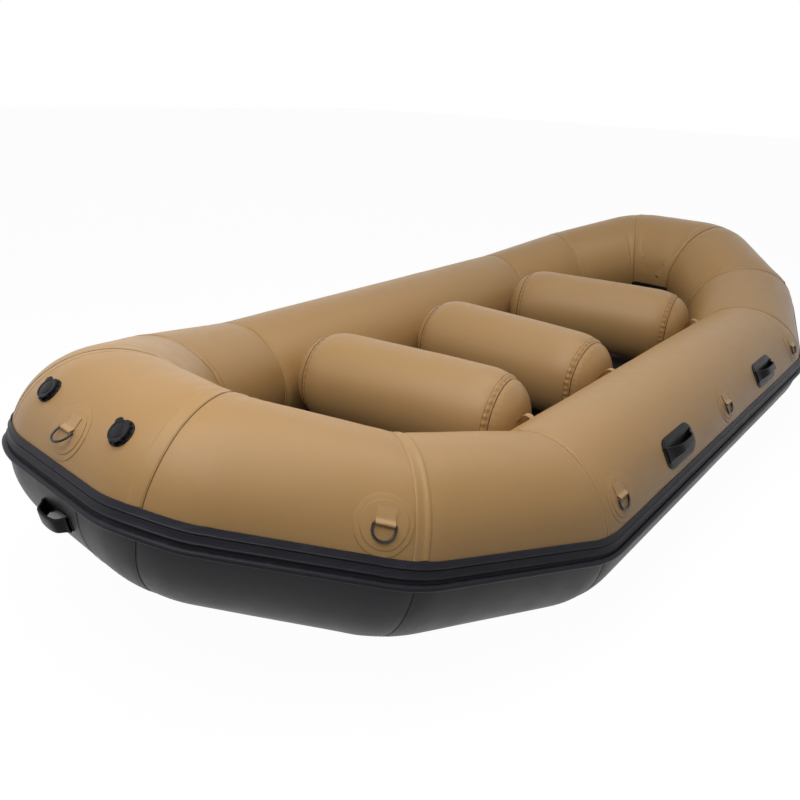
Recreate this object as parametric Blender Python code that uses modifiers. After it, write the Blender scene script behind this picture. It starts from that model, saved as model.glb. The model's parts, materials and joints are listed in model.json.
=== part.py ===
"""Inflatable river raft with three thwarts: metres, +Z up, bow at +X, port at +Y.

The hull is a closed loop of air tube that kicks up at both ends. Its skin is cut in panels that
meet at seams in the bends: tan above, dark below, with a rubber rub strake over the line between.
The raft rests on z = 0 with its middle over the origin.
"""

import math
from collections import namedtuple

import bmesh
import bpy
from mathutils import Matrix, Vector
from mathutils.bvhtree import BVHTree

MERGE_DISTANCE = 0.00005

# Tube centre line: corners of the port bow quarter, mirrored to the other three quarters
SIDE_CORNER_X = 0.970
SIDE_CORNER_Y = 0.719
QUARTER_CORNER_X = 1.455
QUARTER_CORNER_Y = 0.542
QUARTER_RISE = 0.100
END_CORNER_X = 1.779
END_CORNER_Y = 0.216
END_RISE = 0.225
BEND_RADIUS = 0.300
OUTER_BEND_RADIUS = 0.100

# Air tube
SIDE_TUBE_RADIUS = 0.2586
QUARTER_TUBE_RADIUS = 0.261
END_TUBE_RADIUS = 0.2617
SKIN_WALL = 0.0012
SEAM_GAP = 0.0004
REST_GAP = 0.0003
FOOT_HALF_ANGLE = math.radians(6.5)
INNER_SEAM_ANGLE = math.radians(205)
FLOOR_SEAT_ANGLE = math.radians(217)
SIDE_STRAKE_ANGLE = math.radians(13.9)
QUARTER_STRAKE_ANGLE = math.radians(18.8)
END_STRAKE_ANGLE = math.radians(22.4)
UPPER_STEPS = 13
LOWER_OUTER_STEPS = 5

# Rub strake: a flat band, a step between two ridges, a groove and a thick bead
STRAKE_WIDTH = 0.074
STRAKE_SEAT = 0.0008
BAND_THICKNESS = 0.0022
STEP_THICKNESS = 0.0046
RIDGE_THICKNESS = 0.0068
BEAD_THICKNESS = 0.0150
BAND_SHARE = 0.26
STEP_SHARES = (0.29, 0.50)
RIDGE_SHARES = (0.53, 0.59)
GROOVE_SHARES = (0.62, 0.74)
BEAD_SHARES = (0.77, 0.87, 0.97)

# Chamber baffles: shallow cones of fabric inside the tube
BAFFLE_DEPTH = 0.110
BAFFLE_WALL = 0.0010
BAFFLE_CLEARANCE = 0.0008

# Inflated floor
FLOOR_ROLL_RADIUS = 0.040
FLOOR_CHANNELS = 5
FLOOR_VALLEY_DEPTH = 0.008
FLOOR_WALL = 0.0012
WEB_WALL = 0.0010
WEB_LENGTH = 1.800
FLOOR_NOSE_ANGLE = math.radians(55)
FLOOR_VALVE_X = -0.420

# Thwarts: place along the raft, height over the side tube's axis, and turn about the vertical
THWART_RADIUS = 0.186
THWART_DOME_DEPTH = 0.195
THWART_DOME_POWER = 2.5
THWART_DOME_STEPS = 4
THWART_SIDES = 18
THWART_WALL = 0.0012
THWART_CLEARANCE = 0.0001
BOW_THWART_X = 0.703
MIDDLE_THWART_X = 0.0
STERN_THWART_X = -0.850
BOW_THWART_RISE = 0.084
MIDDLE_THWART_RISE = 0.066
STERN_THWART_RISE = 0.080
BOW_THWART_TURN = math.radians(10.0)
MIDDLE_THWART_TURN = 0
STERN_THWART_TURN = math.radians(10.0)
THWART_VALVE_OFFSET = 0.160
THWART_VALVE_FACET = 10

# Tie straps between each thwart's end and the tube
STRAP_WIDTH = 0.025
STRAP_THICKNESS = 0.002
STRAP_LIFT = 0.018
STRAP_STEPS = 6
STRAP_FORE_REACH = 0.055
STRAP_TUBE_ANGLE = math.radians(142)
STRAP_CAP_HEIGHT = 0.050
STRAP_SEAT = 0.0008
STRAP_ROOT = 0.003

# D-ring sets: a round patch, a webbing loop and a wire ring
PATCH_RADIUS = 0.070
PATCH_THICKNESS = 0.0014
PATCH_LIFT = 0.0010
PATCH_SIDES = 12
FITTING_RISE = 0.080
WEBBING_WIDTH = 0.048
WEBBING_THICKNESS = 0.0015
WEBBING_TAB = 0.042
RING_WIRE_RADIUS = 0.003
RING_HALF_WIDTH = 0.0275
RING_ARM = 0.008
RING_CORNER = 0.0035
RING_HOLE_CLEARANCE = 0.0008
QUARTER_RING_FROM_SEAM = 0.086
SIDE_RING_FROM_SEAM = 0.104
RING_REST_LIFT = math.radians(-5)
BOW_RING_LIFT = math.radians(25)

# Carry handles on the sides
HANDLE_FROM_MIDDLE = 0.448
HANDLE_LENGTH = 0.238
HANDLE_HEIGHT = 0.102
HANDLE_PAD_THICKNESS = 0.004
HANDLE_CORNER_RADIUS = 0.030
GRIP_SPAN = 0.170
GRIP_WIDTH = 0.034
GRIP_THICKNESS = 0.008
GRIP_RISE = 0.034

# Tow handles under the bow and the stern
TOW_ANGLE = math.radians(-9.5)
TOW_PAD_LENGTH = 0.135
TOW_PAD_HEIGHT = 0.044
TOW_PAD_CORNER_RADIUS = 0.014
TOW_GRIP_SPAN = 0.105
TOW_GRIP_WIDTH = 0.030
TOW_GRIP_THICKNESS = 0.008
TOW_GRIP_RISE = 0.036

# Chamber valves: body through the tube's skin, sprung poppet, flip cap on an edge hinge
VALVE_FROM_CENTRE = 0.173
VALVE_RISE = 0.137
VALVE_TURN = math.radians(-45)
VALVE_SIDES = 12
SMALL_SIDES = 6
FLANGE_RADIUS = 0.036
FLANGE_THICKNESS = 0.003
COLLAR_RADIUS = 0.0285
COLLAR_HEIGHT = 0.007
BORE_RADIUS = 0.0205
NECK_RADIUS = 0.0235
NECK_DEPTH = 0.016
SEAT_DEPTH = 0.002
SEAT_THICKNESS = 0.003
STEM_RADIUS = 0.004
STEM_CLEARANCE = 0.0006
BUTTON_RADIUS = 0.007
BUTTON_HEIGHT = 0.004
POPPET_RADIUS = 0.017
POPPET_THICKNESS = 0.0025
POPPET_TRAVEL = 0.006
AIR_HOLE_RADIUS = 0.0045
AIR_HOLES = 3
HOLE_CLEARANCE = 0.0015
CAP_RADIUS = 0.0275
CAP_THICKNESS = 0.005
CAP_PLUG_RADIUS = 0.0192
CAP_PLUG_DEPTH = 0.005
CAP_RECESS_RADIUS = 0.0095
CAP_TAB_WIDTH = 0.022
CAP_TAB_LENGTH = 0.008
CAP_TAB_THICKNESS = 0.003
CAP_EDGE = 0.001
HINGE_RADIUS = 0.0022
HINGE_GAP = 0.0008
HINGE_PIN_RADIUS = 0.0012
HINGE_LENGTH = 0.014
HINGE_EAR_LENGTH = 0.004
HINGE_PIN_CLEARANCE = 0.0004

# Plug valves in the floor and the thwarts
PLUG_FLANGE_RADIUS = 0.026
PLUG_FLANGE_THICKNESS = 0.003
PLUG_BORE_RADIUS = 0.0125
PLUG_NECK_RADIUS = 0.0155
PLUG_NECK_DEPTH = 0.012
PLUG_CAP_RADIUS = 0.019
PLUG_CAP_THICKNESS = 0.004
PLUG_CLEARANCE = 0.0006

# Tube axis height that puts the flat foot facet of the straight sides on the ground
AXIS_HEIGHT = SIDE_TUBE_RADIUS * math.cos(FOOT_HALF_ANGLE)

Station = namedtuple("Station", "place forward outward up radius strake shift along seam")


def clear_scene():
    """Remove every object that the new file opened with."""
    for old in list(bpy.data.objects):
        bpy.data.objects.remove(old, do_unlink=True)


def new_collection(name):
    """Make a collection in the scene and return it."""
    collection = bpy.data.collections.new(name)
    bpy.context.scene.collection.children.link(collection)
    return collection


def finish(name, colour, roughness, metallic=0.0):
    """A Principled material from an sRGB colour given as three whole numbers."""
    material = bpy.data.materials.new(name)
    material.use_nodes = True
    shader = material.node_tree.nodes["Principled BSDF"]
    linear = [((c / 255 + 0.055) / 1.055) ** 2.4 for c in colour]
    shader.inputs["Base Color"].default_value = (*linear, 1.0)
    shader.inputs["Roughness"].default_value = roughness
    shader.inputs["Metallic"].default_value = metallic
    return material


clear_scene()
RAFT = new_collection("inflatable_raft")
CUTTERS = new_collection("cutters")

TAN_FABRIC = finish("tan_fabric", (168, 137, 96), 0.45)
DARK_FABRIC = finish("dark_fabric", (49, 48, 53), 0.5)
STRAKE_RUBBER = finish("strake_rubber", (58, 57, 62), 0.55)
BLACK_RUBBER = finish("black_rubber", (26, 26, 28), 0.5)
BLACK_PLASTIC = finish("black_plastic", (30, 29, 33), 0.3)
BLACK_WIRE = finish("black_wire", (22, 22, 26), 0.35, 0.8)


def add(name, data, material, collection=RAFT):
    """Make an object of a mesh or a curve, with its material, in a collection."""
    thing = bpy.data.objects.new(name, data)
    collection.objects.link(thing)
    if material is not None:
        data.materials.append(material)
    return thing


def solidify(thing, wall, offset):
    """Give an open surface its wall: -1 grows it inward, +1 outward."""
    shell = thing.modifiers.new("wall", "SOLIDIFY")
    shell.thickness = wall
    shell.offset = offset
    shell.use_even_offset = True
    return shell


def grid(name, rows, material, collection=RAFT):
    """An open surface through rows of points, each row as long as the next."""
    mesh = bpy.data.meshes.new(name)
    width = len(rows[0])
    faces = []
    for i in range(len(rows) - 1):
        for j in range(width - 1):
            a = i * width + j
            faces.append((a, a + width, a + width + 1, a + 1))
    mesh.from_pydata([p for row in rows for p in row], [], faces)
    return add(name, mesh, material, collection)


def loft(name, sections, material, collection=RAFT):
    """A closed body through closed sections that have the same number of points."""
    shape = bmesh.new()
    rings = [[shape.verts.new(p) for p in section] for section in sections]
    count = len(sections[0])
    for near, far in zip(rings, rings[1:]):
        for j in range(count):
            k = (j + 1) % count
            shape.faces.new((near[j], near[k], far[k], far[j]))
    shape.faces.new(list(reversed(rings[0])))
    shape.faces.new(rings[-1])
    if shape.calc_volume(signed=True) < 0:
        bmesh.ops.reverse_faces(shape, faces=shape.faces)
    mesh = bpy.data.meshes.new(name)
    shape.to_mesh(mesh)
    shape.free()
    return add(name, mesh, material, collection)


def turned(name, profile, sides, material, closed=False, collection=RAFT):
    """A body turned about its own Z from (radius, height) points, given down the outer side."""
    mesh = bpy.data.meshes.new(name)
    points = [(radius, 0, height) for radius, height in profile]
    edges = [(i, i + 1) for i in range(len(points) - 1)]
    if closed:
        edges.append((len(points) - 1, 0))
    mesh.from_pydata(points, edges, [])
    thing = add(name, mesh, material, collection)
    screw = thing.modifiers.new("turn", "SCREW")
    screw.steps = sides
    screw.render_steps = sides
    screw.use_merge_vertices = True
    screw.merge_threshold = MERGE_DISTANCE
    return thing


def cylinder(name, radius, low, high, sides, material, collection=RAFT):
    """A closed cylinder about its own Z between two heights."""
    shape = bmesh.new()
    bmesh.ops.create_cone(
        shape, cap_ends=True, segments=sides, radius1=radius, radius2=radius, depth=high - low
    )
    bmesh.ops.translate(shape, verts=shape.verts, vec=(0, 0, (high + low) / 2))
    mesh = bpy.data.meshes.new(name)
    shape.to_mesh(mesh)
    shape.free()
    return add(name, mesh, material, collection)


def box(name, size, centre, material, collection=RAFT):
    """A closed box of a size about a centre."""
    shape = bmesh.new()
    bmesh.ops.create_cube(shape, size=1)
    bmesh.ops.scale(shape, verts=shape.verts, vec=size)
    bmesh.ops.translate(shape, verts=shape.verts, vec=centre)
    mesh = bpy.data.meshes.new(name)
    shape.to_mesh(mesh)
    shape.free()
    return add(name, mesh, material, collection)


def combine(thing, other, operation):
    """Cut or join another closed body with an exact Boolean, and hide that body."""
    other.hide_render = True
    other.display_type = "WIRE"
    for collection in list(other.users_collection):
        collection.objects.unlink(other)
    CUTTERS.objects.link(other)
    boolean = thing.modifiers.new(operation.lower(), "BOOLEAN")
    boolean.operation = operation
    boolean.solver = "EXACT"
    boolean.object = other


def place(thing, matrix):
    """Put an object at a matrix and return it."""
    thing.matrix_world = matrix
    return thing


def hinge_empty(name, matrix):
    """An empty on a joint's axis, which carries the moving piece."""
    empty = bpy.data.objects.new(name, None)
    empty.empty_display_size = RING_HALF_WIDTH
    RAFT.objects.link(empty)
    empty.matrix_world = matrix
    return empty


def carry(thing, empty, local):
    """Parent a piece to its joint's empty at a place of the empty's own."""
    thing.parent = empty
    thing.matrix_parent_inverse = Matrix.Identity(4)
    thing.matrix_basis = local
    return thing


def rounded_corner(before, here, after, steps):
    """Points, directions and outer shifts of the arc that rounds one corner of the centre line.

    A shift leads from a point of the soft arc to the same turn of the tight arc, which the
    outer side of the tube follows.
    """
    entry = (here - before).normalized()
    leave = (after - here).normalized()
    turn = entry.angle(leave)
    side = (leave - entry * math.cos(turn)).normalized()

    def on_arc(radius, swung):
        start = here - entry * (radius * math.tan(turn / 2))
        return start + (entry * math.sin(swung) + side * (1 - math.cos(swung))) * radius

    arc = []
    for k in range(steps + 1):
        swung = turn * k / steps
        point = on_arc(BEND_RADIUS, swung)
        forward = entry * math.cos(swung) + side * math.sin(swung)
        arc.append((point, forward, on_arc(OUTER_BEND_RADIUS, swung) - point))
    return arc


class Hull:
    """The tube's centre line as a closed loop of stations, from the bow's middle round by port."""

    def __init__(self):
        end = (END_CORNER_X, END_CORNER_Y, END_RISE, END_TUBE_RADIUS, END_STRAKE_ANGLE, 4)
        quarter = (
            QUARTER_CORNER_X,
            QUARTER_CORNER_Y,
            QUARTER_RISE,
            QUARTER_TUBE_RADIUS,
            QUARTER_STRAKE_ANGLE,
            2,
        )
        side = (SIDE_CORNER_X, SIDE_CORNER_Y, 0, SIDE_TUBE_RADIUS, SIDE_STRAKE_ANGLE, 2)
        port = [(c, 1, 1) for c in (end, quarter, side)] + [(c, -1, 1) for c in (side, quarter, end)]
        loop = port + [(c, mirror_x, -1) for c, mirror_x, _ in reversed(port)]
        corners = [Vector((c[0] * mx, c[1] * my, AXIS_HEIGHT + c[2])) for c, mx, my in loop]
        middle = (corners[0] + corners[-1]) / 2
        places, self.seam_along = [], []
        along, last = 0, middle
        for i, here in enumerate(corners):
            steps = loop[i][0][5]
            arc = rounded_corner(corners[i - 1], here, corners[(i + 1) % len(corners)], steps)
            for k, (point, forward, shift) in enumerate(arc):
                along += (point - last).length
                last = point
                seam = i if k == steps // 2 else None
                places.append((point, forward, shift, along, seam))
                if seam is not None:
                    self.seam_along.append(along)
        self.length = along + (middle - last).length
        self.stations = []
        for point, forward, shift, along, seam in places:
            radius, strake = self.between_seams(along, loop)
            self.stations.append(self.station(point, forward, radius, strake, shift, along, seam))

    def between_seams(self, along, loop):
        """Tube radius and strake angle at a distance, blended from the seams on either side."""
        ends = self.seam_along
        before = max([i for i in range(len(ends)) if ends[i] <= along], default=-1)
        start = ends[before] if before >= 0 else ends[-1] - self.length
        after = (before + 1) % len(ends)
        stop = ends[after] if before + 1 < len(ends) else ends[0] + self.length
        share = (along - start) / (stop - start)
        a, b = loop[before][0], loop[after][0]
        return a[3] + (b[3] - a[3]) * share, a[4] + (b[4] - a[4]) * share

    @staticmethod
    def station(point, forward, radius, strake, shift, along, seam=None):
        """One station with its outward and upward directions square to the centre line."""
        forward = forward.normalized()
        outward = forward.cross(Vector((0, 0, 1))).normalized()
        up = outward.cross(forward)
        return Station(point, forward, outward, up, radius, strake, shift, along, seam)

    def at(self, along):
        """The station at any distance round the loop, blended from its neighbours."""
        along %= self.length
        before, after = self.stations[-1], self.stations[0]
        for near, far in zip(self.stations, self.stations[1:]):
            if near.along <= along <= far.along:
                before, after = near, far
        start, stop = before.along, after.along
        if stop < start:
            start, stop = (start - self.length, stop) if along < stop else (start, stop + self.length)
        share = (along - start) / (stop - start)
        return self.station(
            before.place.lerp(after.place, share),
            before.forward.lerp(after.forward, share),
            before.radius + (after.radius - before.radius) * share,
            before.strake + (after.strake - before.strake) * share,
            before.shift.lerp(after.shift, share),
            along,
        )

    def panel(self, first_seam, last_seam):
        """Stations from one seam to a later one, short of both by half the seam's gap."""
        start = [s.seam for s in self.stations].index(first_seam)
        run = self.stations[start:] + self.stations[:start]
        stop = [s.seam for s in run].index(last_seam)
        run = run[: stop + 1]
        run[0] = self.shifted(run[0], SEAM_GAP / 2)
        run[-1] = self.shifted(run[-1], -SEAM_GAP / 2)
        return run

    @staticmethod
    def shifted(station, distance):
        """A station moved along its own direction, still square to it."""
        return station._replace(place=station.place + station.forward * distance, seam=None)

    def walk(self, along, angle, distance):
        """Distance round the loop after a walk of a true length on the skin at one angle."""
        strides = 8
        probe = math.copysign(BEND_RADIUS / 50, distance)
        for _ in range(strides):
            here = skin_point(self.at(along), angle)
            ahead = skin_point(self.at(along + probe), angle)
            along += distance / strides * abs(probe) / (ahead - here).length
        return along


def skin_point(station, angle, lift=0):
    """A point over the tube's skin: 0 faces outward, a quarter turn faces up."""
    direction = station.outward * math.cos(angle) + station.up * math.sin(angle)
    outer_share = (1 + math.cos(angle)) / 2
    return station.place + station.shift * outer_share + direction * (station.radius + lift)


HULL = Hull()


def surface_frame(along, angle, lift=0):
    """A matrix on the skin: X runs aft along the port side, Y up the skin, Z straight out of it."""
    station = HULL.at(along)
    out = station.outward * math.cos(angle) + station.up * math.sin(angle)
    rise = station.up * math.cos(angle) - station.outward * math.sin(angle)
    frame = Matrix((station.forward, rise, out)).transposed().to_4x4()
    frame.translation = skin_point(station, angle, lift)
    return frame


def spread(start, stop, steps):
    """Evenly spaced angles from one to another."""
    return [start + (stop - start) * k / steps for k in range(steps + 1)]


def split_angle(station):
    """Angle of the line between tan and dark fabric, under the middle of the strake."""
    return station.strake - STRAKE_WIDTH / 2 / station.radius


def upper_angles(station):
    """Angles of a tan panel's points, from the strake over the top to the inner seam."""
    gap = SEAM_GAP / 2 / station.radius
    return spread(split_angle(station) + gap, INNER_SEAM_ANGLE - gap, UPPER_STEPS)


def lower_angles(station):
    """Angles of a dark panel's points, with a flat foot facet that looks straight down."""
    gap = SEAM_GAP / 2 / station.radius
    down = math.radians(270)
    inner = [INNER_SEAM_ANGLE + gap] + spread(FLOOR_SEAT_ANGLE, down - FOOT_HALF_ANGLE, 2)
    outer_end = math.radians(360) + split_angle(station) - gap
    return inner + spread(down + FOOT_HALF_ANGLE, outer_end, LOWER_OUTER_STEPS)


def tube_skin(name, seams, angles, material):
    """A stretch of the air tube's fabric between two seams, with its real wall."""
    rows = [[skin_point(s, a) for a in angles(s)] for s in HULL.panel(*seams)]
    skin = grid(name, rows, material)
    solidify(skin, SKIN_WALL, -1)
    return skin


def make_tube_skins():
    """Tan upper skins and dark lower skins, for the bow, the stern and both sides."""
    stretches = {"bow": (11, 0), "port": (0, 5), "stern": (5, 6), "starboard": (6, 11)}
    upper = {}
    for name, seams in stretches.items():
        upper[name] = tube_skin(f"{name}_upper_skin", seams, upper_angles, TAN_FABRIC)
        tube_skin(f"{name}_lower_skin", seams, lower_angles, DARK_FABRIC)
    return upper


def strake_outline(station):
    """Points of the strake's section at a station, down its face and back along the tube."""
    width = STRAKE_WIDTH
    face = [
        (0, BAND_THICKNESS),
        (BAND_SHARE, BAND_THICKNESS),
        (STEP_SHARES[0], STEP_THICKNESS),
        (STEP_SHARES[1], STEP_THICKNESS),
        (RIDGE_SHARES[0], RIDGE_THICKNESS),
        (RIDGE_SHARES[1], RIDGE_THICKNESS),
        (GROOVE_SHARES[0], BAND_THICKNESS),
        (GROOVE_SHARES[1], BAND_THICKNESS),
        (BEAD_SHARES[0], BEAD_THICKNESS * 2 / 3),
        (BEAD_SHARES[1], BEAD_THICKNESS),
        (BEAD_SHARES[2], BEAD_THICKNESS * 3 / 4),
        (1, STRAKE_SEAT),
    ]
    back = [(2 / 3, STRAKE_SEAT), (1 / 3, STRAKE_SEAT), (0, STRAKE_SEAT)]
    return [
        skin_point(station, station.strake - share * width / station.radius, lift)
        for share, lift in face + back
    ]


def make_strake():
    """The rubber strake in a port and a starboard length, butted at bow and stern."""
    half = HULL.length / 2
    port = [s for s in HULL.stations if s.along < half]
    starboard = [s for s in HULL.stations if s.along > half]
    middles = [HULL.at(0), HULL.at(half)]
    for name, run, (first, last) in (
        ("rub_strake_port", port, middles),
        ("rub_strake_starboard", starboard, middles[::-1]),
    ):
        ends = HULL.shifted(first, SEAM_GAP / 2), HULL.shifted(last, -SEAM_GAP / 2)
        sections = [strake_outline(s) for s in (ends[0], *run, ends[1])]
        loft(name, sections, STRAKE_RUBBER)


def add_baffles(skins):
    """Four fabric cones that part the tube loop into air chambers, one in each tan skin."""
    places = {"bow": 0, "port": 1 / 4, "stern": 2 / 4, "starboard": 3 / 4}
    for name, along_share in places.items():
        station = HULL.at(HULL.length * along_share)
        glued = [skin_point(station, a, -SKIN_WALL / 2) for a in upper_angles(station)[1:-1]]
        inset = -SKIN_WALL - BAFFLE_CLEARANCE
        free = [skin_point(station, a, inset) for a in lower_angles(station)[:-1]]
        rim = glued + free
        tip = station.place + station.forward * BAFFLE_DEPTH
        mesh = bpy.data.meshes.new(f"{name}_baffle")
        faces = [((i + 1) % len(rim), i, len(rim)) for i in range(len(rim))]
        mesh.from_pydata(rim + [tip], [], faces)
        cone = add(f"{name}_baffle", mesh, None)
        solidify(cone, BAFFLE_WALL, -1)
        combine(skins[name], cone, "UNION")


def floor_roll_centre(station):
    """Middle of the floor's rolled edge where it lies against the tube."""
    return skin_point(station, FLOOR_SEAT_ANGLE, REST_GAP + FLOOR_ROLL_RADIUS)


def floor_section(x, half_width, height, thick_share):
    """Points of the floor's section: ribs on top, rolled edges, ribs below."""
    roll = FLOOR_ROLL_RADIUS * thick_share
    valley = roll - FLOOR_VALLEY_DEPTH * thick_share
    count = 2 * FLOOR_CHANNELS
    top = []
    for j in range(count + 1):
        lift = valley if j % 2 == 0 and 0 < j < count else roll
        top.append((half_width * (1 - 2 * j / count), lift))
    points = [(half_width + roll * math.sin(a), roll * math.cos(a)) for a in spread(0, math.pi, 4)[1:4]]
    port = points[::-1]
    starboard = [(-y, z) for y, z in points]
    bottom = [(y, -z) for y, z in top[::-1]]
    outline = port + top + starboard + bottom
    return [Vector((x, y, height + z)) for y, z in outline]


def make_floor():
    """The inflated floor with its long ribs, inner webs and plug valve."""
    by_seam = {s.seam: s for s in HULL.stations if s.seam is not None}
    nose = floor_roll_centre(HULL.stations[0])
    edge = [floor_roll_centre(by_seam[i]) for i in (0, 1, 2)]
    bow = [(p.x, p.y, p.z, 1) for p in [nose] + edge]
    share = math.cos(FLOOR_NOSE_ANGLE)
    width = nose.y - FLOOR_ROLL_RADIUS * (1 - share)
    bow.insert(0, (nose.x + FLOOR_ROLL_RADIUS * math.sin(FLOOR_NOSE_ANGLE), width, nose.z, share))
    stern = [(-x, y, z, share) for x, y, z, share in reversed(bow)]
    floor = loft("inflatable_floor", [floor_section(*s) for s in bow + stern], DARK_FABRIC)
    solidify(floor, FLOOR_WALL, -1).use_even_offset = False
    middle_z = edge[2].z
    pitch = 2 * edge[2].y / FLOOR_CHANNELS
    height = 2 * (FLOOR_ROLL_RADIUS - FLOOR_VALLEY_DEPTH) - FLOOR_WALL
    for j in range(1, FLOOR_CHANNELS):
        size = (WEB_LENGTH, WEB_WALL, height)
        web = box(f"floor_web_{j}", size, (0, edge[2].y - pitch * j, middle_z), None)
        combine(floor, web, "UNION")
    valve = Matrix.Translation((FLOOR_VALVE_X, 0, middle_z + FLOOR_ROLL_RADIUS))
    return fit_plug_valve("floor", floor, valve)


def tube_clearance(point):
    """How far a point lies from the tube's true round skin."""
    gaps = []
    for near, far in zip(HULL.stations, HULL.stations[1:] + HULL.stations[:1]):
        run = far.place - near.place
        share = min(max((point - near.place).dot(run) / run.length_squared, 0), 1)
        radius = near.radius + (far.radius - near.radius) * share
        gaps.append((point - near.place - run * share).length - radius)
    return min(gaps)


def dome_profile():
    """Rounded end of a thwart from its tip down to its rim, as (radius, height) points."""
    points = []
    for k in range(THWART_DOME_STEPS + 1):
        lean = math.pi / 2 * k / THWART_DOME_STEPS
        radius = THWART_RADIUS * math.sin(lean) ** (2 / THWART_DOME_POWER)
        height = THWART_DOME_DEPTH * math.cos(lean) ** (2 / THWART_DOME_POWER)
        points.append((radius, height))
    points[0] = (0, THWART_DOME_DEPTH)
    points[-1] = (THWART_RADIUS, 0)
    return points


def dome_samples():
    """Points over a thwart's faceted end, three along each facet and two across it."""
    profile = dome_profile()
    samples = []
    for (radius, height), (next_radius, next_height) in zip(profile, profile[1:]):
        for along_share in (0, 1 / 3, 2 / 3, 1):
            r = radius + (next_radius - radius) * along_share
            h = height + (next_height - height) * along_share
            for k in range(2 * THWART_SIDES):
                turn = math.pi * k / THWART_SIDES
                flat = r * math.cos(math.pi / THWART_SIDES) if k % 2 else r
                samples.append(Vector((flat * math.cos(turn), h, flat * math.sin(turn))))
    return samples


def thwart_reach(frame, side, samples):
    """Half-length of a thwart on one side, where its rounded end just meets the tube."""
    low, high = THWART_DOME_DEPTH, SIDE_CORNER_Y
    for _ in range(14):
        reach = (low + high) / 2
        rim_y = reach - THWART_DOME_DEPTH
        if all(
            tube_clearance(frame @ Vector((p.x, side * (rim_y + p.y), p.z))) > THWART_CLEARANCE
            for p in samples
        ):
            low = reach
        else:
            high = reach
    return low


def fit_plug_valve(name, skin, frame):
    """Weld a plug valve's body into a skin, and give the skin its pull-out cap."""
    between = (PLUG_BORE_RADIUS + PLUG_NECK_RADIUS) / 2
    hole = cylinder(f"{name}_valve_hole", between, -PLUG_NECK_DEPTH, PLUG_NECK_DEPTH, VALVE_SIDES, None)
    combine(skin, place(hole, frame), "DIFFERENCE")
    flange = [
        (PLUG_BORE_RADIUS, PLUG_FLANGE_THICKNESS),
        (PLUG_FLANGE_RADIUS, PLUG_FLANGE_THICKNESS),
        (PLUG_FLANGE_RADIUS, -SKIN_WALL / 2),
        (PLUG_NECK_RADIUS, -SKIN_WALL / 2),
        (PLUG_NECK_RADIUS, -PLUG_NECK_DEPTH),
        (PLUG_BORE_RADIUS, -PLUG_NECK_DEPTH),
    ]
    body = turned(f"{name}_valve_body", flange, VALVE_SIDES, None, closed=True)
    combine(skin, place(body, frame), "UNION")
    low = PLUG_FLANGE_THICKNESS + REST_GAP
    plug = PLUG_BORE_RADIUS - PLUG_CLEARANCE
    profile = [
        (0, low + PLUG_CAP_THICKNESS),
        (PLUG_CAP_RADIUS, low + PLUG_CAP_THICKNESS),
        (PLUG_CAP_RADIUS, low),
        (plug, low),
        (plug, -PLUG_NECK_DEPTH),
        (0, -PLUG_NECK_DEPTH),
    ]
    cap = turned(f"{name}_valve_cap", profile, VALVE_SIDES, BLACK_PLASTIC)
    carry(cap, hinge_empty(f"{name}_valve_cap_slide", frame), Matrix.Identity(4))


def strap_band(name, frame, side, reach):
    """An arched tie strap over a thwart end's nip: the port one fore, the starboard one aft."""
    spread_out = math.hypot(STRAP_FORE_REACH, STRAP_CAP_HEIGHT) / THWART_RADIUS
    cap_depth = THWART_DOME_DEPTH * (1 - spread_out**THWART_DOME_POWER) ** (1 / THWART_DOME_POWER)
    cap_y = side * (reach - THWART_DOME_DEPTH + cap_depth - STRAP_ROOT)
    start = frame @ Vector((side * STRAP_FORE_REACH, cap_y, STRAP_CAP_HEIGHT))
    stop_radius = SIDE_TUBE_RADIUS + STRAP_SEAT
    stop_y = side * (SIDE_CORNER_Y + stop_radius * math.cos(STRAP_TUBE_ANGLE))
    stop = Vector((start.x, stop_y, AXIS_HEIGHT + stop_radius * math.sin(STRAP_TUBE_ANGLE)))
    outer, inner = [], []
    for k in range(STRAP_STEPS + 1):
        share = k / STRAP_STEPS
        middle = start.lerp(stop, share) + Vector((0, 0, STRAP_LIFT * math.sin(math.pi * share)))
        slope = (stop - start) + Vector((0, 0, STRAP_LIFT * math.pi * math.cos(math.pi * share)))
        square = Vector((1, 0, 0)).cross(slope).normalized() * (STRAP_THICKNESS / 2)
        outer.append(middle + square)
        inner.append(middle - square)
    outline = outer + inner[::-1]
    half = Vector((STRAP_WIDTH / 2, 0, 0))
    return loft(name, [[p - half for p in outline], [p + half for p in outline]], None)


def make_thwart(name, x, rise, turn):
    """One inflated thwart: barrel, two rounded ends, tie straps and a plug valve."""
    frame = Matrix.Translation((x, 0, AXIS_HEIGHT + rise)) @ Matrix.Rotation(turn, 4, "Z")
    samples = dome_samples()
    port, starboard = (thwart_reach(frame, side, samples) for side in (1, -1))
    dome = dome_profile()
    profile = [(radius, port - THWART_DOME_DEPTH + height) for radius, height in dome]
    profile += [(radius, THWART_DOME_DEPTH - starboard - height) for radius, height in dome[::-1]]
    thwart = turned(name, profile, THWART_SIDES, TAN_FABRIC)
    solidify(thwart, THWART_WALL, -1)
    place(thwart, frame @ Matrix.Rotation(-math.pi / 2, 4, "X"))
    for side, reach in ((1, port), (-1, starboard)):
        combine(thwart, strap_band(f"{name}_strap_{side}", frame, side, reach), "UNION")
    facet = 2 * math.pi / THWART_SIDES
    angle = (THWART_VALVE_FACET + 1 / 2) * facet
    valve = frame @ Matrix.Translation((0, -THWART_VALVE_OFFSET, 0))
    valve = valve @ Matrix.Rotation(math.pi / 2 - angle, 4, "Y")
    fit_plug_valve(name, thwart, valve @ Matrix.Translation((0, 0, THWART_RADIUS * math.cos(facet / 2))))


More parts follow.
